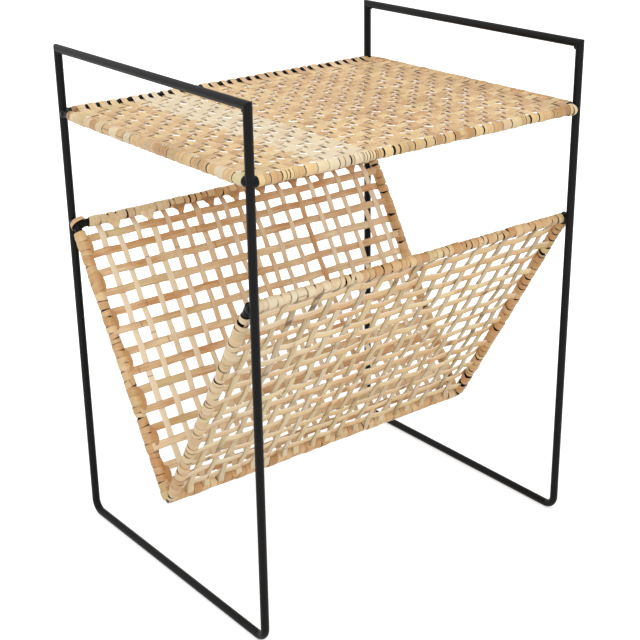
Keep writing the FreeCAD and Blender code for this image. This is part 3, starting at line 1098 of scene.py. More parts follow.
    def front_bands(self, rng: np.random.Generator, place: float) -> tuple[np.ndarray, np.ndarray, np.ndarray]:
        """Splits a strip's hook on the front rail into bands.

        Args:
            rng: source of the split.
            place: the strip's place from left to right.

        Returns:
            Each band's share of the pitch, its middle as a share of the pitch off the strip's, and its gap.
        """
        low, high = self.split_places
        if low < place < high:
            count = int(rng.integers(3, 5))
        else:
            count = int(rng.choice([1, 2, 3], p=self.band_odds))
        shares = rng.uniform(*self.band_shares, count)
        shares /= shares.sum()
        gaps = rng.choice(self.front_gaps, size=count, p=self.front_gap_odds)
        return shares, np.cumsum(shares) - shares / 2 - 0.5, np.minimum(gaps, self.gap_limit * shares)

    def crosswise(self, rng: np.random.Generator, along: np.ndarray, crossings: np.ndarray) -> list[Strand]:
        """The strips from side to side, whose hooks cover the left and right rails.

        Args:
            rng: source of their widths and tones.
            along: places of the strips from front to rear.
            crossings: places of the strips that they cross.

        Returns:
            The strands, and the ribbons that bind the rails.
        """
        strands, width, even = [], self.sizes.half_width, self.rows()
        pitch = even[1] - even[0]
        for k, place in enumerate(along):
            over = np.where((np.arange(len(crossings)) + k) % 2, 1, -1)
            radius = self.hook_radius + rng.uniform(*self.crosswise_slack)
            line, hooked = self.run(-width, width, crossings, over, radius)
            at = line[:, 0]
            body = rng.uniform(*self.crosswise_widths)
            hook = pitch / self.strip.width * rng.choice(self.side_hooks, p=self.side_hook_odds)
            left = ease((-at - width + self.left_flare_from) / self.left_flare_over)
            wide = np.where(hooked > 0.2, hook, body * (1 + self.left_flare * left))
            lean = ((even[k] - place + self.left_lean) * left
                    + self.right_lean * ease((at - width + self.edge_reach) / self.edge_reach))
            tones = np.full(len(line), self.crosswise_tone + self.tone_spread * rng.standard_normal())
            # A strip is in shadow where it dives from over one strip to under the next.
            dives = np.flatnonzero((over[:-1] > 0) & (over[1:] < 0)) + 1
            tones[HOOK_POINTS + POINTS_PER_CROSSING * dives] += rng.uniform(*self.dive_tones, len(dives))
            faded = rng.choice(self.faded_hooks, p=self.faded_hook_odds)
            strands.append(self.strand(rng, line, hooked, place, 0, wide, tones, lean, faded))
        return strands + self.edge_bindings(rng)

    def edge_bindings(self, rng: np.random.Generator) -> list[Strand]:
        """Ribbons wound over the rails' ends, and slantwise along the whole right rail.

        Args:
            rng: source of their bands and tones.

        Returns:
            The strands.
        """
        level, depth, width = self.sizes.table_level, self.sizes.half_depth, self.sizes.half_width

        def stretch(*ends: tuple[float, float]) -> Rod:
            """A stretch of table rail between two places."""
            return Rod(np.array([(x, y, level) for x, y in ends]), np.array([0.0, -0.5, 0.8]))

        wound = [WoundRod("right_rail", stretch((width, -depth + 9), (width, depth - 9)),
                          bands=(10.0, 17.0), radius=6.15, step_share=0.5, gap_chance=0.0, tone=0.85),
                 WoundRod("rear_left_end", stretch((-width, depth - 18), (-width, depth - 28)),
                          bands=(9.0, 10.0), radius=5.6, gap_chance=0.0, tone=0.7),
                 WoundRod("rear_end", stretch((-width + 9.5, depth), (-width + 18, depth)),
                          bands=(8.0, 9.0), gap_chance=0.0, tone=0.6),
                 WoundRod("front_right_end", stretch((width - 15, -depth), (width - 7, -depth)),
                          bands=(7.9, 8.1), radius=6.5, gap_chance=0.0, colours=lambda share: (0.5, 0.4))]
        return [each.strand(rng, self.strip) for each in wound]

    def build(self, weaver: Weaver, finish: bpy.types.Material) -> None:
        """Weaves the top's two pieces.

        Args:
            weaver: sweeps the strips.
            finish: the top's rattan.
        """
        rng = np.random.default_rng(SEED + 1)
        across, along = self.places(rng)
        weaver.weave("table_lengthwise_strips", self.lengthwise(rng, across, along), self.strip, finish,
                     Slot.TOP, rng)
        weaver.weave("table_crosswise_strips", self.crosswise(rng, along, across), self.strip, finish,
                     Slot.TOP, rng)


@dataclass
class Rod:
    """A stretch of rod to wind: its line, and the way its best side faces."""

    line: np.ndarray
    seen: np.ndarray

    @property
    def length(self) -> float:
        """Length of the line."""
        return float(np.linalg.norm(np.diff(self.line, axis=0), axis=1).sum())

    def at(self, places: np.ndarray) -> tuple[np.ndarray, np.ndarray, np.ndarray]:
        """Points of the line, with two ways square to it.

        Args:
            places: distances along the line.

        Returns:
            The points, the way of the best side, and the way beside it.
        """
        steps = np.linalg.norm(np.diff(self.line, axis=0), axis=1)
        reach = np.concatenate([[0.0], np.cumsum(steps)])

        def place(where: np.ndarray) -> np.ndarray:
            """Points at distances along the line."""
            return np.stack([np.interp(where, reach, self.line[:, k]) for k in range(3)], 1)

        way = place(np.clip(places + 1.5, 0, reach[-1])) - place(np.clip(places - 1.5, 0, reach[-1]))
        way /= np.linalg.norm(way, axis=1, keepdims=True)
        seen = self.seen - way * (way @ self.seen)[:, None]
        seen /= np.linalg.norm(seen, axis=1, keepdims=True)
        return place(places), seen, np.cross(way, seen)


POINTS_PER_TURN = 24
BLUR_POINTS = 7


@dataclass
class WoundRod:
    """Rattan wound round a rod in bands, straight on the seen side and stepping on at the back."""

    name: str
    rod: Rod
    bands: tuple[float, float] = (9.0, 15.0)
    radius: float = 5.5
    bulge: float = 0.25
    slant: float = 0.9
    step_share: float = 0.3
    step_trim: float = 0.3
    gap_chance: float = 0.2
    least_gap: float = 1.2
    wide_gap: float = 3.0
    close_gaps: tuple[float, float] = (-0.5, 0.35)
    tone: float = 0.45
    tone_spread: float = 0.26
    pale_spread: tuple[float, float] = (0.5, 1.3)
    colours: Callable[[float], tuple[float, float]] | None = None

    def strand(self, rng: np.random.Generator, section: Section) -> Strand:
        """Winds the rod.

        Args:
            rng: source of the bands' widths, gaps and tones.
            section: the ribbon's cross section.

        Returns:
            The ribbon as one strand.
        """
        widths = []
        while sum(widths) < self.rod.length:
            widths.append(rng.uniform(*self.bands))
        count = len(widths)
        widths = np.array(widths) * self.rod.length / sum(widths)
        centres = np.cumsum(widths) - widths / 2
        gaps = np.where(rng.uniform(size=count) < self.gap_chance,
                        rng.uniform(self.least_gap, self.wide_gap, count), rng.uniform(*self.close_gaps, count))
        share = np.arange(POINTS_PER_TURN) / POINTS_PER_TURN
        come = 1 - ease(share / self.step_share)
        go = ease((share - 1 + self.step_share) / self.step_share)
        step = 4 * (come * (1 - come) + go * (1 - go))
        angles, places, wide, tone, pale, swell = [], [], [], [], [], []
        for k, centre in enumerate(centres):
            before = (centres[k - 1] + centre) / 2 if k else centre
            after = (centres[k + 1] + centre) / 2 if k + 1 < count else centre
            slant = self.slant * rng.standard_normal() * np.sin(math.tau * share)
            places.append(centre + (before - centre) * come + (after - centre) * go + slant)
            angles.append(math.tau * (k + share))
            wide.append((widths[k] - gaps[k]) / section.width * (1 - self.step_trim * step))
            colour = self.colours(centre / self.rod.length) if self.colours else (self.tone, 0.0)
            tone.append(np.full(POINTS_PER_TURN, colour[0] + self.tone_spread * rng.standard_normal()))
            pale.append(np.full(POINTS_PER_TURN, colour[1] * rng.uniform(*self.pale_spread)))
            swell.append(np.full(POINTS_PER_TURN, rng.uniform(-self.bulge, self.bulge)))
        blur = np.ones(BLUR_POINTS) / BLUR_POINTS
        flow = [np.convolve(np.pad(np.concatenate(v), BLUR_POINTS // 2, mode="edge"), blur, mode="valid")
                for v in (wide, tone, pale, swell)]
        turn, at = np.concatenate(angles), np.concatenate(places)
        middle, seen, beside = self.rod.at(at)
        bark = -np.cos(turn)[:, None] * seen + np.sin(turn)[:, None] * beside
        points = middle + bark * (self.radius + flow[3])[:, None]
        return Strand(points, bark, flow[0], flow[1], flow[2])


# Places of the rack's strips in millimetres: the verticals from the middle of the table, the horizontals down
# from the rack rail's axis. Those of the rear panel were measured in the photograph.
REAR_VERTICALS = (-199.6, -177.7, -152.2, -130.4, -109.2, -85.8, -64.0, -41.6, -22.9, -3.3, 17.0, 37.2,
                  63.7, 88.6, 113.6, 133.8, 158.7, 186.7, 207.0)
REAR_HORIZONTALS = (19.4, 39.5, 62.8, 87.6, 111.1, 134.1, 160.5, 184.8, 209.0, 232.1, 256.1, 276.7,
                    302.5, 321.3)
FRONT_VERTICALS = tuple(-204.25 + 22.7 * k + 2.2 * math.sin(2.4 * k) for k in range(19))
FRONT_HORIZONTALS = tuple(19.4 + 23.2 * k + 1.8 * math.sin(2.9 * k) for k in range(14))

# Steps of a flap off the rack rail: down the panel and off it in millimetres, share of its lean, and width.
FLAP_STEPS = ((2.5, 4.5, 0.95, 1.25), (5.0, 4.1, 0.8, 1.2), (7.5, 3.2, 0.5, 1.1), (10.0, 2.0, 0.2, 0.95),
              (13.0, 1.1, 0.03, 0.8))
RIGHT = np.array([1.0, 0.0, 0.0])


@dataclass
class RackPanel:
    """One open woven panel of the rack, hung between a rack rail and the rod along the foot."""

    side: Side
    sizes: FrameSizes = SIZES
    vertical: Section = Section("rack_vertical_strip", 7.6, 0.9, 0.15)
    horizontal: Section = Section("rack_horizontal_strip", 9.0, 0.9, 0.15)
    verticals: Sequence[float] = ()
    horizontals: Sequence[float] = ()
    rise: float = 0.65
    crossing_flat: float = 2.8
    crossing_dip: float = 0.85
    wobble: float = 0.8
    wobble_length: float = 32.0
    widths: tuple[float, float] = (0.94, 1.13)
    flap_radius: float = 4.5
    width_drift: float = 0.08
    width_length: float = 30.0
    tone_length: float = 40.0
    down_lightening: float = 0.25
    rail_shade: float = 0.9
    rail_shade_reach: float = 9.0
    level_tone: float = 0.58
    left_paleness: tuple[float, float] = (0.1, 0.5)
    cream_strips: Sequence[int] = (1, 2, 3, 4)
    rail_darkened_strips: Sequence[int] = (2, 3, 4, 6)
    rail_darkening: float = 1.1
    rail_darkening_reach: float = 110.0
    stain_and_shade_chance: float = 0.05
    stain_and_shade_tones: tuple[float, float] = (0.8, 1.5)
    rail_ends: Sequence[tuple[float, float]] = ((-2.5, -4.9), (3.0, -4.6), (8.0, -2.4))
    foot_ends: Sequence[tuple[float, float]] = ((-8.0, -2.4), (-2.0, -4.8), (2.5, -4.9))
    arm_ends: Sequence[tuple[float, float]] = ((-1.5, 1.0), (3.5, 0.77), (9.0, 0.4))
    over_arm: float = 5.0
    under_arm: float = -4.9

    @property
    def mouth(self) -> np.ndarray:
        """Middle of the rack rail's axis."""
        return np.array([0.0, self.side.value * self.sizes.rack_reach, self.sizes.rack_level])

    @property
    def down(self) -> np.ndarray:
        """The way down the panel."""
        way = np.array([0.0, 0.0, self.sizes.foot_level]) - self.mouth
        return way / np.linalg.norm(way)

    @property
    def inward(self) -> np.ndarray:
        """The way that the panel's bark side faces, into the rack."""
        return np.array([0.0, self.side.value * self.down[2], -self.side.value * self.down[1]])

    @property
    def length(self) -> float:
        """Length of the panel between the two axes."""
        return float(np.linalg.norm(np.array([0.0, 0.0, self.sizes.foot_level]) - self.mouth))

    def stand(self, across: np.ndarray, along: np.ndarray, above: np.ndarray) -> np.ndarray:
        """Turns places on the panel into points of the table.

        Args:
            across: from left to right.
            along: down the panel from the rack rail's axis.
            above: off the panel, towards the inside of the rack.

        Returns:
            Points in millimetres.
        """
        return self.mouth + np.outer(across, RIGHT) + np.outer(along, self.down) + np.outer(above, self.inward)

    def bark(self, line: np.ndarray, way: np.ndarray) -> np.ndarray:
        """The way that a strip's bark faces.

        Args:
            line: the strip seen from its edge, along and above.
            way: the way that it runs in the panel.

        Returns:
            A way for each of its points.
        """
        ways = facing(line)
        return np.outer(ways[:, 0], way) + np.outer(ways[:, 1], self.inward)

    def woven(self, crossings: np.ndarray, over: np.ndarray) -> np.ndarray:
        """A strip seen from its edge, from its first crossing to its last.

        Args:
            crossings: places of the strips that it crosses.
            over: 1 where it passes over, -1 where it passes under.

        Returns:
            Places along and above.
        """
        line = []
        for k, (at, way) in enumerate(zip(crossings, over)):
            shoulder = self.crossing_dip * way * self.rise
            line += [(at - self.crossing_flat, shoulder), (at, way * self.rise),
                     (at + self.crossing_flat, shoulder)]
            if k + 1 < len(crossings):
                line.append(((at + crossings[k + 1]) / 2, 0.0))
        return np.array(line)

    def flaps(self, rng: np.random.Generator, place: float, tone: float) -> list[Strand]:
        """Two flaps by which a vertical strip spreads over the rack rail.

        Args:
            rng: source of small differences.
            place: the strip's place across.
            tone: its colour.

        Returns:
            The two strands.
        """
        turn = np.linspace(0.3, 0.0, 4)
        down, off, share, broad = np.array(FLAP_STEPS).T
        along = np.concatenate([-self.flap_radius * np.sin(turn), down])
        above = np.concatenate([self.flap_radius * np.cos(turn), off])
        spread = np.concatenate([np.ones(len(turn)), share])
        wide = np.concatenate([np.full(len(turn), broad[0]), broad])
        bark = self.bark(np.stack([along, above], 1), self.down)
        # Painted shade just under the rack rail, where the flap turns down: strong on the right, weak on the
        # left.
        under_rail_shade = np.exp(-((along - 6) / 4) ** 2) * (0.9 if place > -110 else 0.3)
        return [Strand(self.stand(place + spread * lean, along, above), bark, wide, tone + under_rail_shade,
                       np.zeros(len(wide))) for lean in (rng.uniform(-10.5, -8.5), 1.2)]

    def vertical_colour(self, rng: np.random.Generator, k: int) -> tuple[float, float]:
        """Colour of a strip down the panel.

        Args:
            rng: source of the differences.
            k: the strip's number from the left.

        Returns:
            Its tone and its paleness.
        """
        if self.side is Side.REAR:
            pale = 0.35 if k in self.cream_strips else rng.choice([0.0, 0.2, 0.45])
            tone = 0.12 + 0.35 * (k > 4)
        else:
            pale = rng.choice([0.0, 0.15, 0.4] if k > 6 else [0.3, 0.5, 0.8])
            tone = 0.35 + 0.4 * ease((k - 7) / 6)
        return tone + 0.2 * rng.standard_normal(), pale

    def breadth(self, rng: np.random.Generator, line: np.ndarray) -> np.ndarray:
        """Width of a strip at each of its places, as a share of the section's."""
        width = rng.uniform(*self.widths)
        return width * (1 + self.width_drift * smooth_noise(rng, line[:, 0], self.width_length))

    def vertical_strands(self, rng: np.random.Generator) -> list[Strand]:
        """The strips down the panel, from the rack rail to the rod along the foot.

        Args:
            rng: source of their drift, widths and tones.

        Returns:
            The strands, with the rear panel's flaps.
        """
        strands, rows = [], np.array(self.horizontals)
        for k, place in enumerate(self.verticals):
            over = np.where((np.arange(len(rows)) + k) % 2, -1, 1)
            foot = [(self.length + off, above) for off, above in self.foot_ends]
            line = np.concatenate([self.rail_ends, self.woven(rows, over), foot])
            drift = self.wobble * smooth_noise(rng, line[:, 0], self.wobble_length)
            points = self.stand(place + drift, line[:, 0], line[:, 1])
            bark = self.bark(line, self.down)
            bark *= np.sign(bark @ self.inward)[:, None]
            tone, pale = self.vertical_colour(rng, k)
            tones = tone + 0.2 * smooth_noise(rng, line[:, 0], self.tone_length)
            # Strips get lighter down the panel, towards the foot.
            tones -= self.down_lightening * line[:, 0] / self.length
            tones += self.rail_shade * np.exp(-(line[:, 0] / self.rail_shade_reach) ** 2)
            # Front panel: specks of dirt and painted crossing shade, and some strips darker near the rack rail.
            if self.side is Side.FRONT:
                tones += self.stains_and_shade(rng, line, self.rail_darkening if k in self.rail_darkened_strips else 0.0)
            strands.append(Strand(points, bark, self.breadth(rng, line), tones, np.full(len(line), pale)))
            if self.side is Side.REAR and k % 2:
                strands += self.flaps(rng, place, tone + 0.2)
        return strands

    def horizontal_strands(self, rng: np.random.Generator) -> list[Strand]:
        """The strips along the panel, from V rod to V rod.

        Args:
            rng: source of their drift, widths and tones.

        Returns:
            The strands, with the front panel's slivers.
        """
        strands, columns, half = [], np.array(self.verticals), self.sizes.half_width
        for k, place in enumerate(self.horizontals):
            over = np.where((np.arange(len(columns)) + k) % 2, 1, -1)
            edge = self.over_arm if k % 2 else self.under_arm
            left = [(off - half, share * edge) for off, share in self.arm_ends]
            right = [(half - off, -share * edge) for off, share in reversed(self.arm_ends)]
            line = np.concatenate([left, self.woven(columns, over), right])
            drift = self.wobble * smooth_noise(rng, line[:, 0], self.wobble_length)
            points = self.stand(line[:, 0], place + drift, line[:, 1])
            tone = self.level_tone + 0.15 * rng.standard_normal() - self.down_lightening * place / self.length
            tones = tone + 0.22 * smooth_noise(rng, line[:, 0], self.tone_length)
            if self.side is Side.FRONT:
                tones += self.stains_and_shade(rng, line, 0.0)
            wide = self.breadth(rng, line)
            # The front panel's horizontals are paler towards their left end.
            pale = rng.uniform(*self.left_paleness) * (self.side is Side.FRONT) * ease((-50 - line[:, 0]) / 110)
            strands.append(Strand(points, self.bark(line, RIGHT), wide, tones, pale))
            if self.side is Side.FRONT and k % 3:
                strands.append(self.split(rng, points, line))
        return strands

    def stains_and_shade(self, rng: np.random.Generator, line: np.ndarray, near_rail_darkening: float) -> np.ndarray:
        """Dark marks on a strip of the front panel: specks at random points that stand for dirt and for painted
        shade where strips cross, and a darker stretch near the rack rail on some strips.

        Args:
            rng: source of where they fall.
            line: the strip's places along and above.
            near_rail_darkening: how much darker its first part is, near the rack rail.

        Returns:
            What to add to the tone at each place.
        """
        count = len(line)
        marks = np.where(rng.uniform(size=count) < self.stain_and_shade_chance,
                         rng.uniform(*self.stain_and_shade_tones, count), 0.0)
        return marks + (near_rail_darkening * np.exp(-(line[:, 0] / self.rail_darkening_reach) ** 2)
                        * rng.uniform(0.6, 1.0, count))

    def split(self, rng: np.random.Generator, points: np.ndarray, line: np.ndarray) -> Strand:
        """A thin sliver that has come away along a strip's upper edge.

        Args:
            rng: source of where it starts and ends.
            points: the strip's points.
            line: its places along and above.

        Returns:
            The sliver.
        """
        start = rng.integers(3, len(line) - 34)
        part = slice(start, start + rng.integers(16, 30))
        off = -4.6 - 1.4 * np.abs(smooth_noise(rng, line[part, 0], 30))
        shifted = points[part] + np.outer(off, self.down) - 0.25 * self.inward
        return plain_strand(shifted, self.inward, 0.24, 0.2, 0.5)

    def build(self, weaver: Weaver, upright: bpy.types.Material, level: bpy.types.Material) -> None:
        """Weaves the panel's two pieces.

        Args:
            weaver: sweeps the strips.
            upright: rattan of the strips down the panel.
            level: rattan of the strips along it.
        """
        rng = np.random.default_rng(SEED + 5 + self.side.value)
        name = self.side.name.lower()
        weaver.weave(f"rack_{name}_verticals", self.vertical_strands(rng), self.vertical, upright,
                     Slot.RACK, rng)
        weaver.weave(f"rack_{name}_horizontals", self.horizontal_strands(rng), self.horizontal, level,
                     Slot.RACK, rng)


def curve_through(points: Sequence[Sequence[float]], steps: int = 8) -> np.ndarray:
    """A smooth line through points.

    Args:
        points: points to pass through.
        steps: points of the line for each stretch.

    Returns:
        The line's points.
    """
    ends = np.array(points, float)
    ends = np.concatenate([[2 * ends[0] - ends[1]], ends, [2 * ends[-1] - ends[-2]]])
    share = np.linspace(0, 1, steps, endpoint=False)[:, None]
    line = []
    for a, b, c, d in zip(ends, ends[1:], ends[2:], ends[3:]):
        line.append(0.5 * (2 * b + (c - a) * share + (2 * a - 5 * b + 4 * c - d) * share ** 2
                           + (3 * b - a - 3 * c + d) * share ** 3))
    return np.concatenate([*line, ends[-2:-1]])


def plain_strand(points: np.ndarray, bark: np.ndarray, wide: float | np.ndarray, tone: float,
                 pale: float = 0.0) -> Strand:
    """A strand of one colour.

    Args:
        points: its points, in millimetres.
        bark: the way its bark faces, one way or one for each point.
        wide: its width, as a share of the section's.
        tone: its colour.
        pale: how pale it is.

    Returns:
        The strand.
    """
    count = len(points)
    ways = np.broadcast_to(np.array(bark, float), (count, 3))
    ways = ways / np.linalg.norm(ways, axis=1, keepdims=True)
    return Strand(points, ways, wide * np.ones(count), np.full(count, tone), np.full(count, pale))


@dataclass
class RackBindings:
    """The ribbons wound round the rack's rails, its V rods and the rod along its foot.

    Bare lengths run from the axis of the crossing rod to where a winding starts, in millimetres.
    """

    sizes: FrameSizes = SIZES
    ribbon: Section = Section("winding_ribbon", 12.0, 1.2, 0.35)
    rail_bare: float = 5.5
    tied_rail_bare: float = 15.0
    foot_bare: float = -4.5
    arm_bare: float = 9.5
    right_arm_bare: float = 5.0
    ringed_arm_bare: float = 21.5
    ring: tuple[float, float] = (10.0, 18.0)

    def front_rail_colours(self, share: float) -> tuple[float, float]:
        """Tone and paleness along the front rack rail, pale on the left and honey on the right.

        Args:
            share: how far along the rail.

        Returns:
            Tone and paleness.
        """
        if share < 0.15:
            return 0.25, 0.85
        if share < 0.32:
            return 0.1, 0.55
        return 0.55, 0.0

    def rear_rail_colours(self, share: float) -> tuple[float, float]:
        """Tone and paleness along the rear rack rail, cream on the left and straw on the right."""
        return (0.25, 0.5) if share < 0.3 else (0.55, 0.0)

    def arm_colours(self, side: Side, x: int) -> Callable[[float], tuple[float, float]]:
        """Chooses the colours of a V rod's arm: the front panel's left arm is the palest.

        Args:
            side: the arm's panel.
            x: -1 on the left, 1 on the right.

        Returns:
            A function that gives tone and paleness by how far down the arm.
        """
        if x > 0:
            return lambda share: (0.8, 0.0)
        if side is Side.FRONT:
            return lambda share: (0.25, 0.4 * (1 - 0.6 * share))
        return lambda share: (0.4 + 0.35 * share, 0.0)

    def rail(self, y: float, level: float, left_bare: float, right_bare: float) -> Rod:
        """The wound stretch of a rail.

        Args:
            y: the rail's place from front to rear.
            level: its height.
            left_bare: its bare length on the left.
            right_bare: its bare length on the right.

        Returns:
            The stretch from left to right, seen from the front and above.
        """
        reach = self.sizes.half_width
        return Rod(np.array([(left_bare - reach, y, level), (reach - right_bare, y, level)]),
                   np.array([0.0, -0.8, 0.6]))

    def arm(self, side: Side, x: int) -> np.ndarray:
        """Line of a V rod's wound arm, from below the rack rail to the bend, or its middle at the rear.

        Args:
            side: the arm's panel.
            x: -1 on the left, 1 on the right.

        Returns:
            Points in millimetres.
        """
        line = WeldedFrame().vee_line(x)
        half = line[:len(line) // 2 + 1] * (1, side.value, 1)
        bare = self.right_arm_bare
        if x < 0:
            bare = self.ringed_arm_bare if side is Side.FRONT else self.arm_bare
        half[0] = self.arm_point(side, x, bare)
        return half[:2] if side is Side.FRONT else half

    def arm_point(self, side: Side, x: int, along: float) -> np.ndarray:
        """Finds a point of a V rod's arm.

        Args:
            side: the arm's panel.
            x: -1 on the left, 1 on the right.
            along: distance down the arm from the rack rail's axis.

        Returns:
            The point in millimetres.
        """
        s = self.sizes
        way = np.array([0.0, -side.value * math.cos(s.arm_slope), -math.sin(s.arm_slope)])
        return np.array([x * s.half_width, side.value * s.rack_reach, s.rack_level]) + along * way

    def wound_rods(self) -> list[WoundRod]:
        """Lists what is wound.

        Returns:
            Every wound rod of the rack.
        """
        s = self.sizes
        rods = [
            WoundRod("rack_front_rail_winding",
                     self.rail(-s.rack_reach, s.rack_level, self.rail_bare, self.rail_bare),
                     bands=(6.0, 13.0), bulge=0.4, gap_chance=0.3, wide_gap=2.2,
                     colours=self.front_rail_colours),
            WoundRod("rack_rear_rail_winding",
                     self.rail(s.rack_reach, s.rack_level, self.tied_rail_bare, self.rail_bare),
                     bands=(8.0, 15.0), gap_chance=0.5, colours=self.rear_rail_colours),
            WoundRod("rack_bottom_rod_winding", self.rail(0.0, s.foot_level, self.foot_bare, self.foot_bare),
                     bands=(9.0, 13.0), gap_chance=0.1, bulge=0.6, step_share=0.5, step_trim=0.0),
        ]
        for side in Side:
            panel = RackPanel(side)
            for name, x in (("left", -1), ("right", 1)):
                face = np.array([-0.6 if x < 0 else 0.4, 0.0, 0.0]) + panel.inward * side.value
                rods.append(WoundRod(f"rack_{name}_{side.name.lower()}_arm_winding",
                                     Rod(self.arm(side, x), face), bands=(6.0, 13.0), radius=6.2, bulge=0.45,
                                     step_trim=0.2, gap_chance=0.35, wide_gap=2.8 if x > 0 else 1.8,
                                     colours=self.arm_colours(side, x)))
        return rods

    def half_moons(self, rng: np.random.Generator) -> list[Strand]:
        """Loops on the left arm of the rear panel, where a strip turns back into the next row.

        Args:
            rng: source of their sizes and tones.

        Returns:
            The strands.
        """
        panel = RackPanel(Side.REAR)
        turn = np.linspace(-0.1, math.pi + 0.1, 16)
        out = np.sin(turn)
        strands = []
        for upper, lower in zip(REAR_HORIZONTALS[0::2], REAR_HORIZONTALS[1::2]):
            reach = 0.4 * (lower - upper) + rng.uniform(0.0, 2.0)
            across = -self.sizes.half_width + 3.0 + rng.uniform(2.8, 4.2) * out
            along = 0.55 * upper + 0.45 * lower - reach * np.cos(turn)
            # The loops' dark brown tone is painted shade.
            strands.append(plain_strand(panel.stand(across, along, 4.4 - 2.2 * out), panel.inward,
                                        0.4 + 0.3 * out.clip(0, 1), 1.05 + 0.15 * rng.standard_normal()))
        return strands

    def corner_tie(self) -> Strand:
        """Ties the rear rail's left end over the bare rod to the V rod.

        Returns:
            The strand.
        """
        corner = np.array([-self.sizes.half_width, self.sizes.rack_reach, self.sizes.rack_level])
        line = curve_through([(-3.8, 4.1, -5.8), (-6.3, 1.8, -0.7), (-4.1, -2.8, 5.7), (4.9, -2.4, 8.0),
                              (9.4, -0.9, 7.1)])
        return plain_strand(corner + line, line, 0.5, 0.4)

    def pale_ring(self) -> WoundRod:
        """The ring of pale rattan on the front panel's left arm, set apart above its winding."""
        stretch = np.array([self.arm_point(Side.FRONT, -1, along) for along in self.ring])
        return WoundRod("pale_ring", Rod(stretch, np.array([-0.6, -0.8, 0.0])), bands=(7.9, 8.1),
                        gap_chance=0.0, colours=lambda share: (0.2, 0.5))

    def build(self, weaver: Weaver, finish: bpy.types.Material) -> None:
        """Winds every rod.

        Args:
            weaver: sweeps the ribbons.
            finish: the windings' rattan.
        """
        rng = np.random.default_rng(SEED + 9)
        more = {"rack_left_rear_arm_winding": self.half_moons(rng),
                "rack_rear_rail_winding": [self.corner_tie()],
                "rack_left_front_arm_winding": [self.pale_ring().strand(rng, self.ribbon)]}
        for wound in self.wound_rods():
            strands = [wound.strand(rng, self.ribbon), *more.get(wound.name, [])]
            weaver.weave(wound.name, strands, self.ribbon, finish, Slot.WINDING, rng)


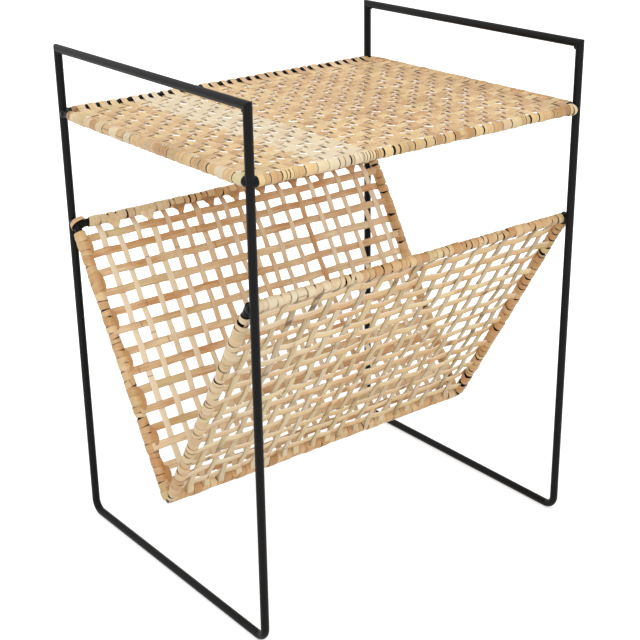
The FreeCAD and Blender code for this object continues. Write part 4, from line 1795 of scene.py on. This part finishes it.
@dataclass
class Studio:
    """White paper, soft lamps and the camera. Lengths are in metres, angles in degrees and powers in watts."""

    camera_place: tuple[float, float, float] = (-0.94047, -1.21041, 0.88887)
    camera_heading: float = 37.774
    camera_dip: float = 22.176
    camera_roll: float = -0.828
    lens: float = 76.71
    sensor: float = 36.0
    sky: float = 0.54
    floor_reach: float = 9.0
    lamp_size: float = 2.4
    lamp_aim: tuple[float, float, float] = (0.0, 0.0, 0.35)
    lamps: Sequence[tuple[str, tuple[float, float, float], float]] = (
        ("top_lamp", (0.0, -0.1, 3.0), 24), ("key_lamp", (-1.7, -2.4, 1.7), 33),
        ("fill_lamp", (2.2, -2.0, 1.5), 11), ("back_lamp", (-1.2, 2.7, 1.5), 12))

    def build(self, paper: bpy.types.Material) -> None:
        """Sets up the paper, the sky, the lamps and the camera.

        Args:
            paper: the floor's finish.
        """
        reach = self.floor_reach
        mesh = bpy.data.meshes.new("studio_floor")
        mesh.from_pydata([(-reach, -reach, 0), (reach, -reach, 0), (reach, reach, 0), (-reach, reach, 0)], [],
                         [(0, 1, 2, 3)])
        mesh.materials.append(paper)
        new_object("studio_floor", mesh)
        self.sky_light()
        for name, place, power in self.lamps:
            self.lamp(name, place, power)
        self.camera()

    def sky_light(self) -> None:
        """Lights the studio from all round, and shows white where the camera looks past the paper."""
        world = bpy.data.worlds.new("studio_sky")
        world.use_nodes = True
        tree = world.node_tree
        tree.nodes.clear()
        strength = add_node(tree, "ShaderNodeMapRange", None,
                            {"Value": seen_rays(tree), "To Min": self.sky, "To Max": 1.0}).outputs["Result"]
        sky = add_node(tree, "ShaderNodeBackground", None,
                       {"Color": (1.0, 1.0, 1.0, 1.0), "Strength": strength})
        add_node(tree, "ShaderNodeOutputWorld", None, {"Surface": sky.outputs["Background"]})
        bpy.context.scene.world = world

    def lamp(self, name: str, place: tuple[float, float, float], power: float) -> None:
        """Hangs one soft square lamp aimed at the table.

        Args:
            name: the lamp's name.
            place: where it hangs.
            power: how strong it is.
        """
        data = bpy.data.lights.new(name, "AREA")
        data.size, data.energy = self.lamp_size, power
        thing = bpy.data.objects.new(name, data)
        thing.location = place
        thing.rotation_euler = (Vector(self.lamp_aim) - Vector(place)).to_track_quat("-Z", "Y").to_euler()
        bpy.context.scene.collection.objects.link(thing)

    def camera(self) -> None:
        """Sets the camera at the photograph's viewing angle."""
        data = bpy.data.cameras.new("camera")
        data.lens, data.sensor_width = self.lens, self.sensor
        thing = bpy.data.objects.new("camera", data)
        turn = (Matrix.Rotation(math.radians(-self.camera_heading), 4, "Z")
                @ Matrix.Rotation(math.radians(90 - self.camera_dip), 4, "X")
                @ Matrix.Rotation(math.radians(self.camera_roll), 4, "Z"))
        thing.matrix_world = Matrix.Translation(self.camera_place) @ turn
        bpy.context.scene.collection.objects.link(thing)
        bpy.context.scene.camera = thing


TOP_RATTAN = RattanPeel("split_rattan_peel_top", straw="#EFCE94", stain_and_shade="#4E3A24", edge="#F4E3C2",
                        far_edge="#F4E3C2", edge_strength=0.8)
# The rack's rattan is set paler than the top's: partly its own colour, partly painted light that makes up for
# the shade of the table top over the rack.
REAR_RATTAN = RattanPeel("split_rattan_peel_rack_rear", straw="#FCE6C0", honey="#D0985F", cream="#FAF1DE",
                         pith="#E6D0AA", half_width_mm=4.2, edge_strength=0.35)
# On the front panel's strips, edge is painted shade along one side and far_edge a painted highlight along the
# other.
UPRIGHT_RATTAN = RattanPeel("split_rattan_peel_rack_uprights", straw="#FAE2AE", honey="#A98758", pith="#DABE8C",
                            leaf="#B3A570", cream="#FAF1DE", edge="#846844", far_edge="#FBF0D8",
                            half_width_mm=3.8, edge_strength=0.65, edge_start=0.45, fade=0.35)
LEVEL_RATTAN = RattanPeel("split_rattan_peel_rack_levels", straw="#FFE6B0", honey="#E2A469", pith="#F8DCA8",
                          leaf="#D3C68A", cream="#FDF5E4", edge="#A9794A", far_edge="#FFF6E4",
                          half_width_mm=4.5, edge_strength=0.65, edge_start=0.35, fade=0.3)
WINDING_RATTAN = RattanPeel("split_rattan_peel_windings", straw="#EDCE9C", honey="#CB9862", half_width_mm=6.0)


def main() -> None:
    """Builds the table in order."""
    logging.basicConfig(level=logging.INFO, format="%(message)s")
    bpy.context.scene.view_settings.view_transform = "Standard"
    Studio().build(StudioPaper().make())
    WeldedFrame().build(PowderCoat().make())
    weaver = Weaver()
    WovenTop().build(weaver, TOP_RATTAN.make())
    rear = REAR_RATTAN.make()
    RackPanel(Side.REAR, verticals=REAR_VERTICALS, horizontals=REAR_HORIZONTALS).build(weaver, rear, rear)
    RackPanel(Side.FRONT, verticals=FRONT_VERTICALS, horizontals=FRONT_HORIZONTALS, wobble=2.2,
              widths=(1.05, 1.26)).build(weaver, UPRIGHT_RATTAN.make(), LEVEL_RATTAN.make())
    RackBindings().build(weaver, WINDING_RATTAN.make())
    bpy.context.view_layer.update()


if __name__ == "__main__":
    main()
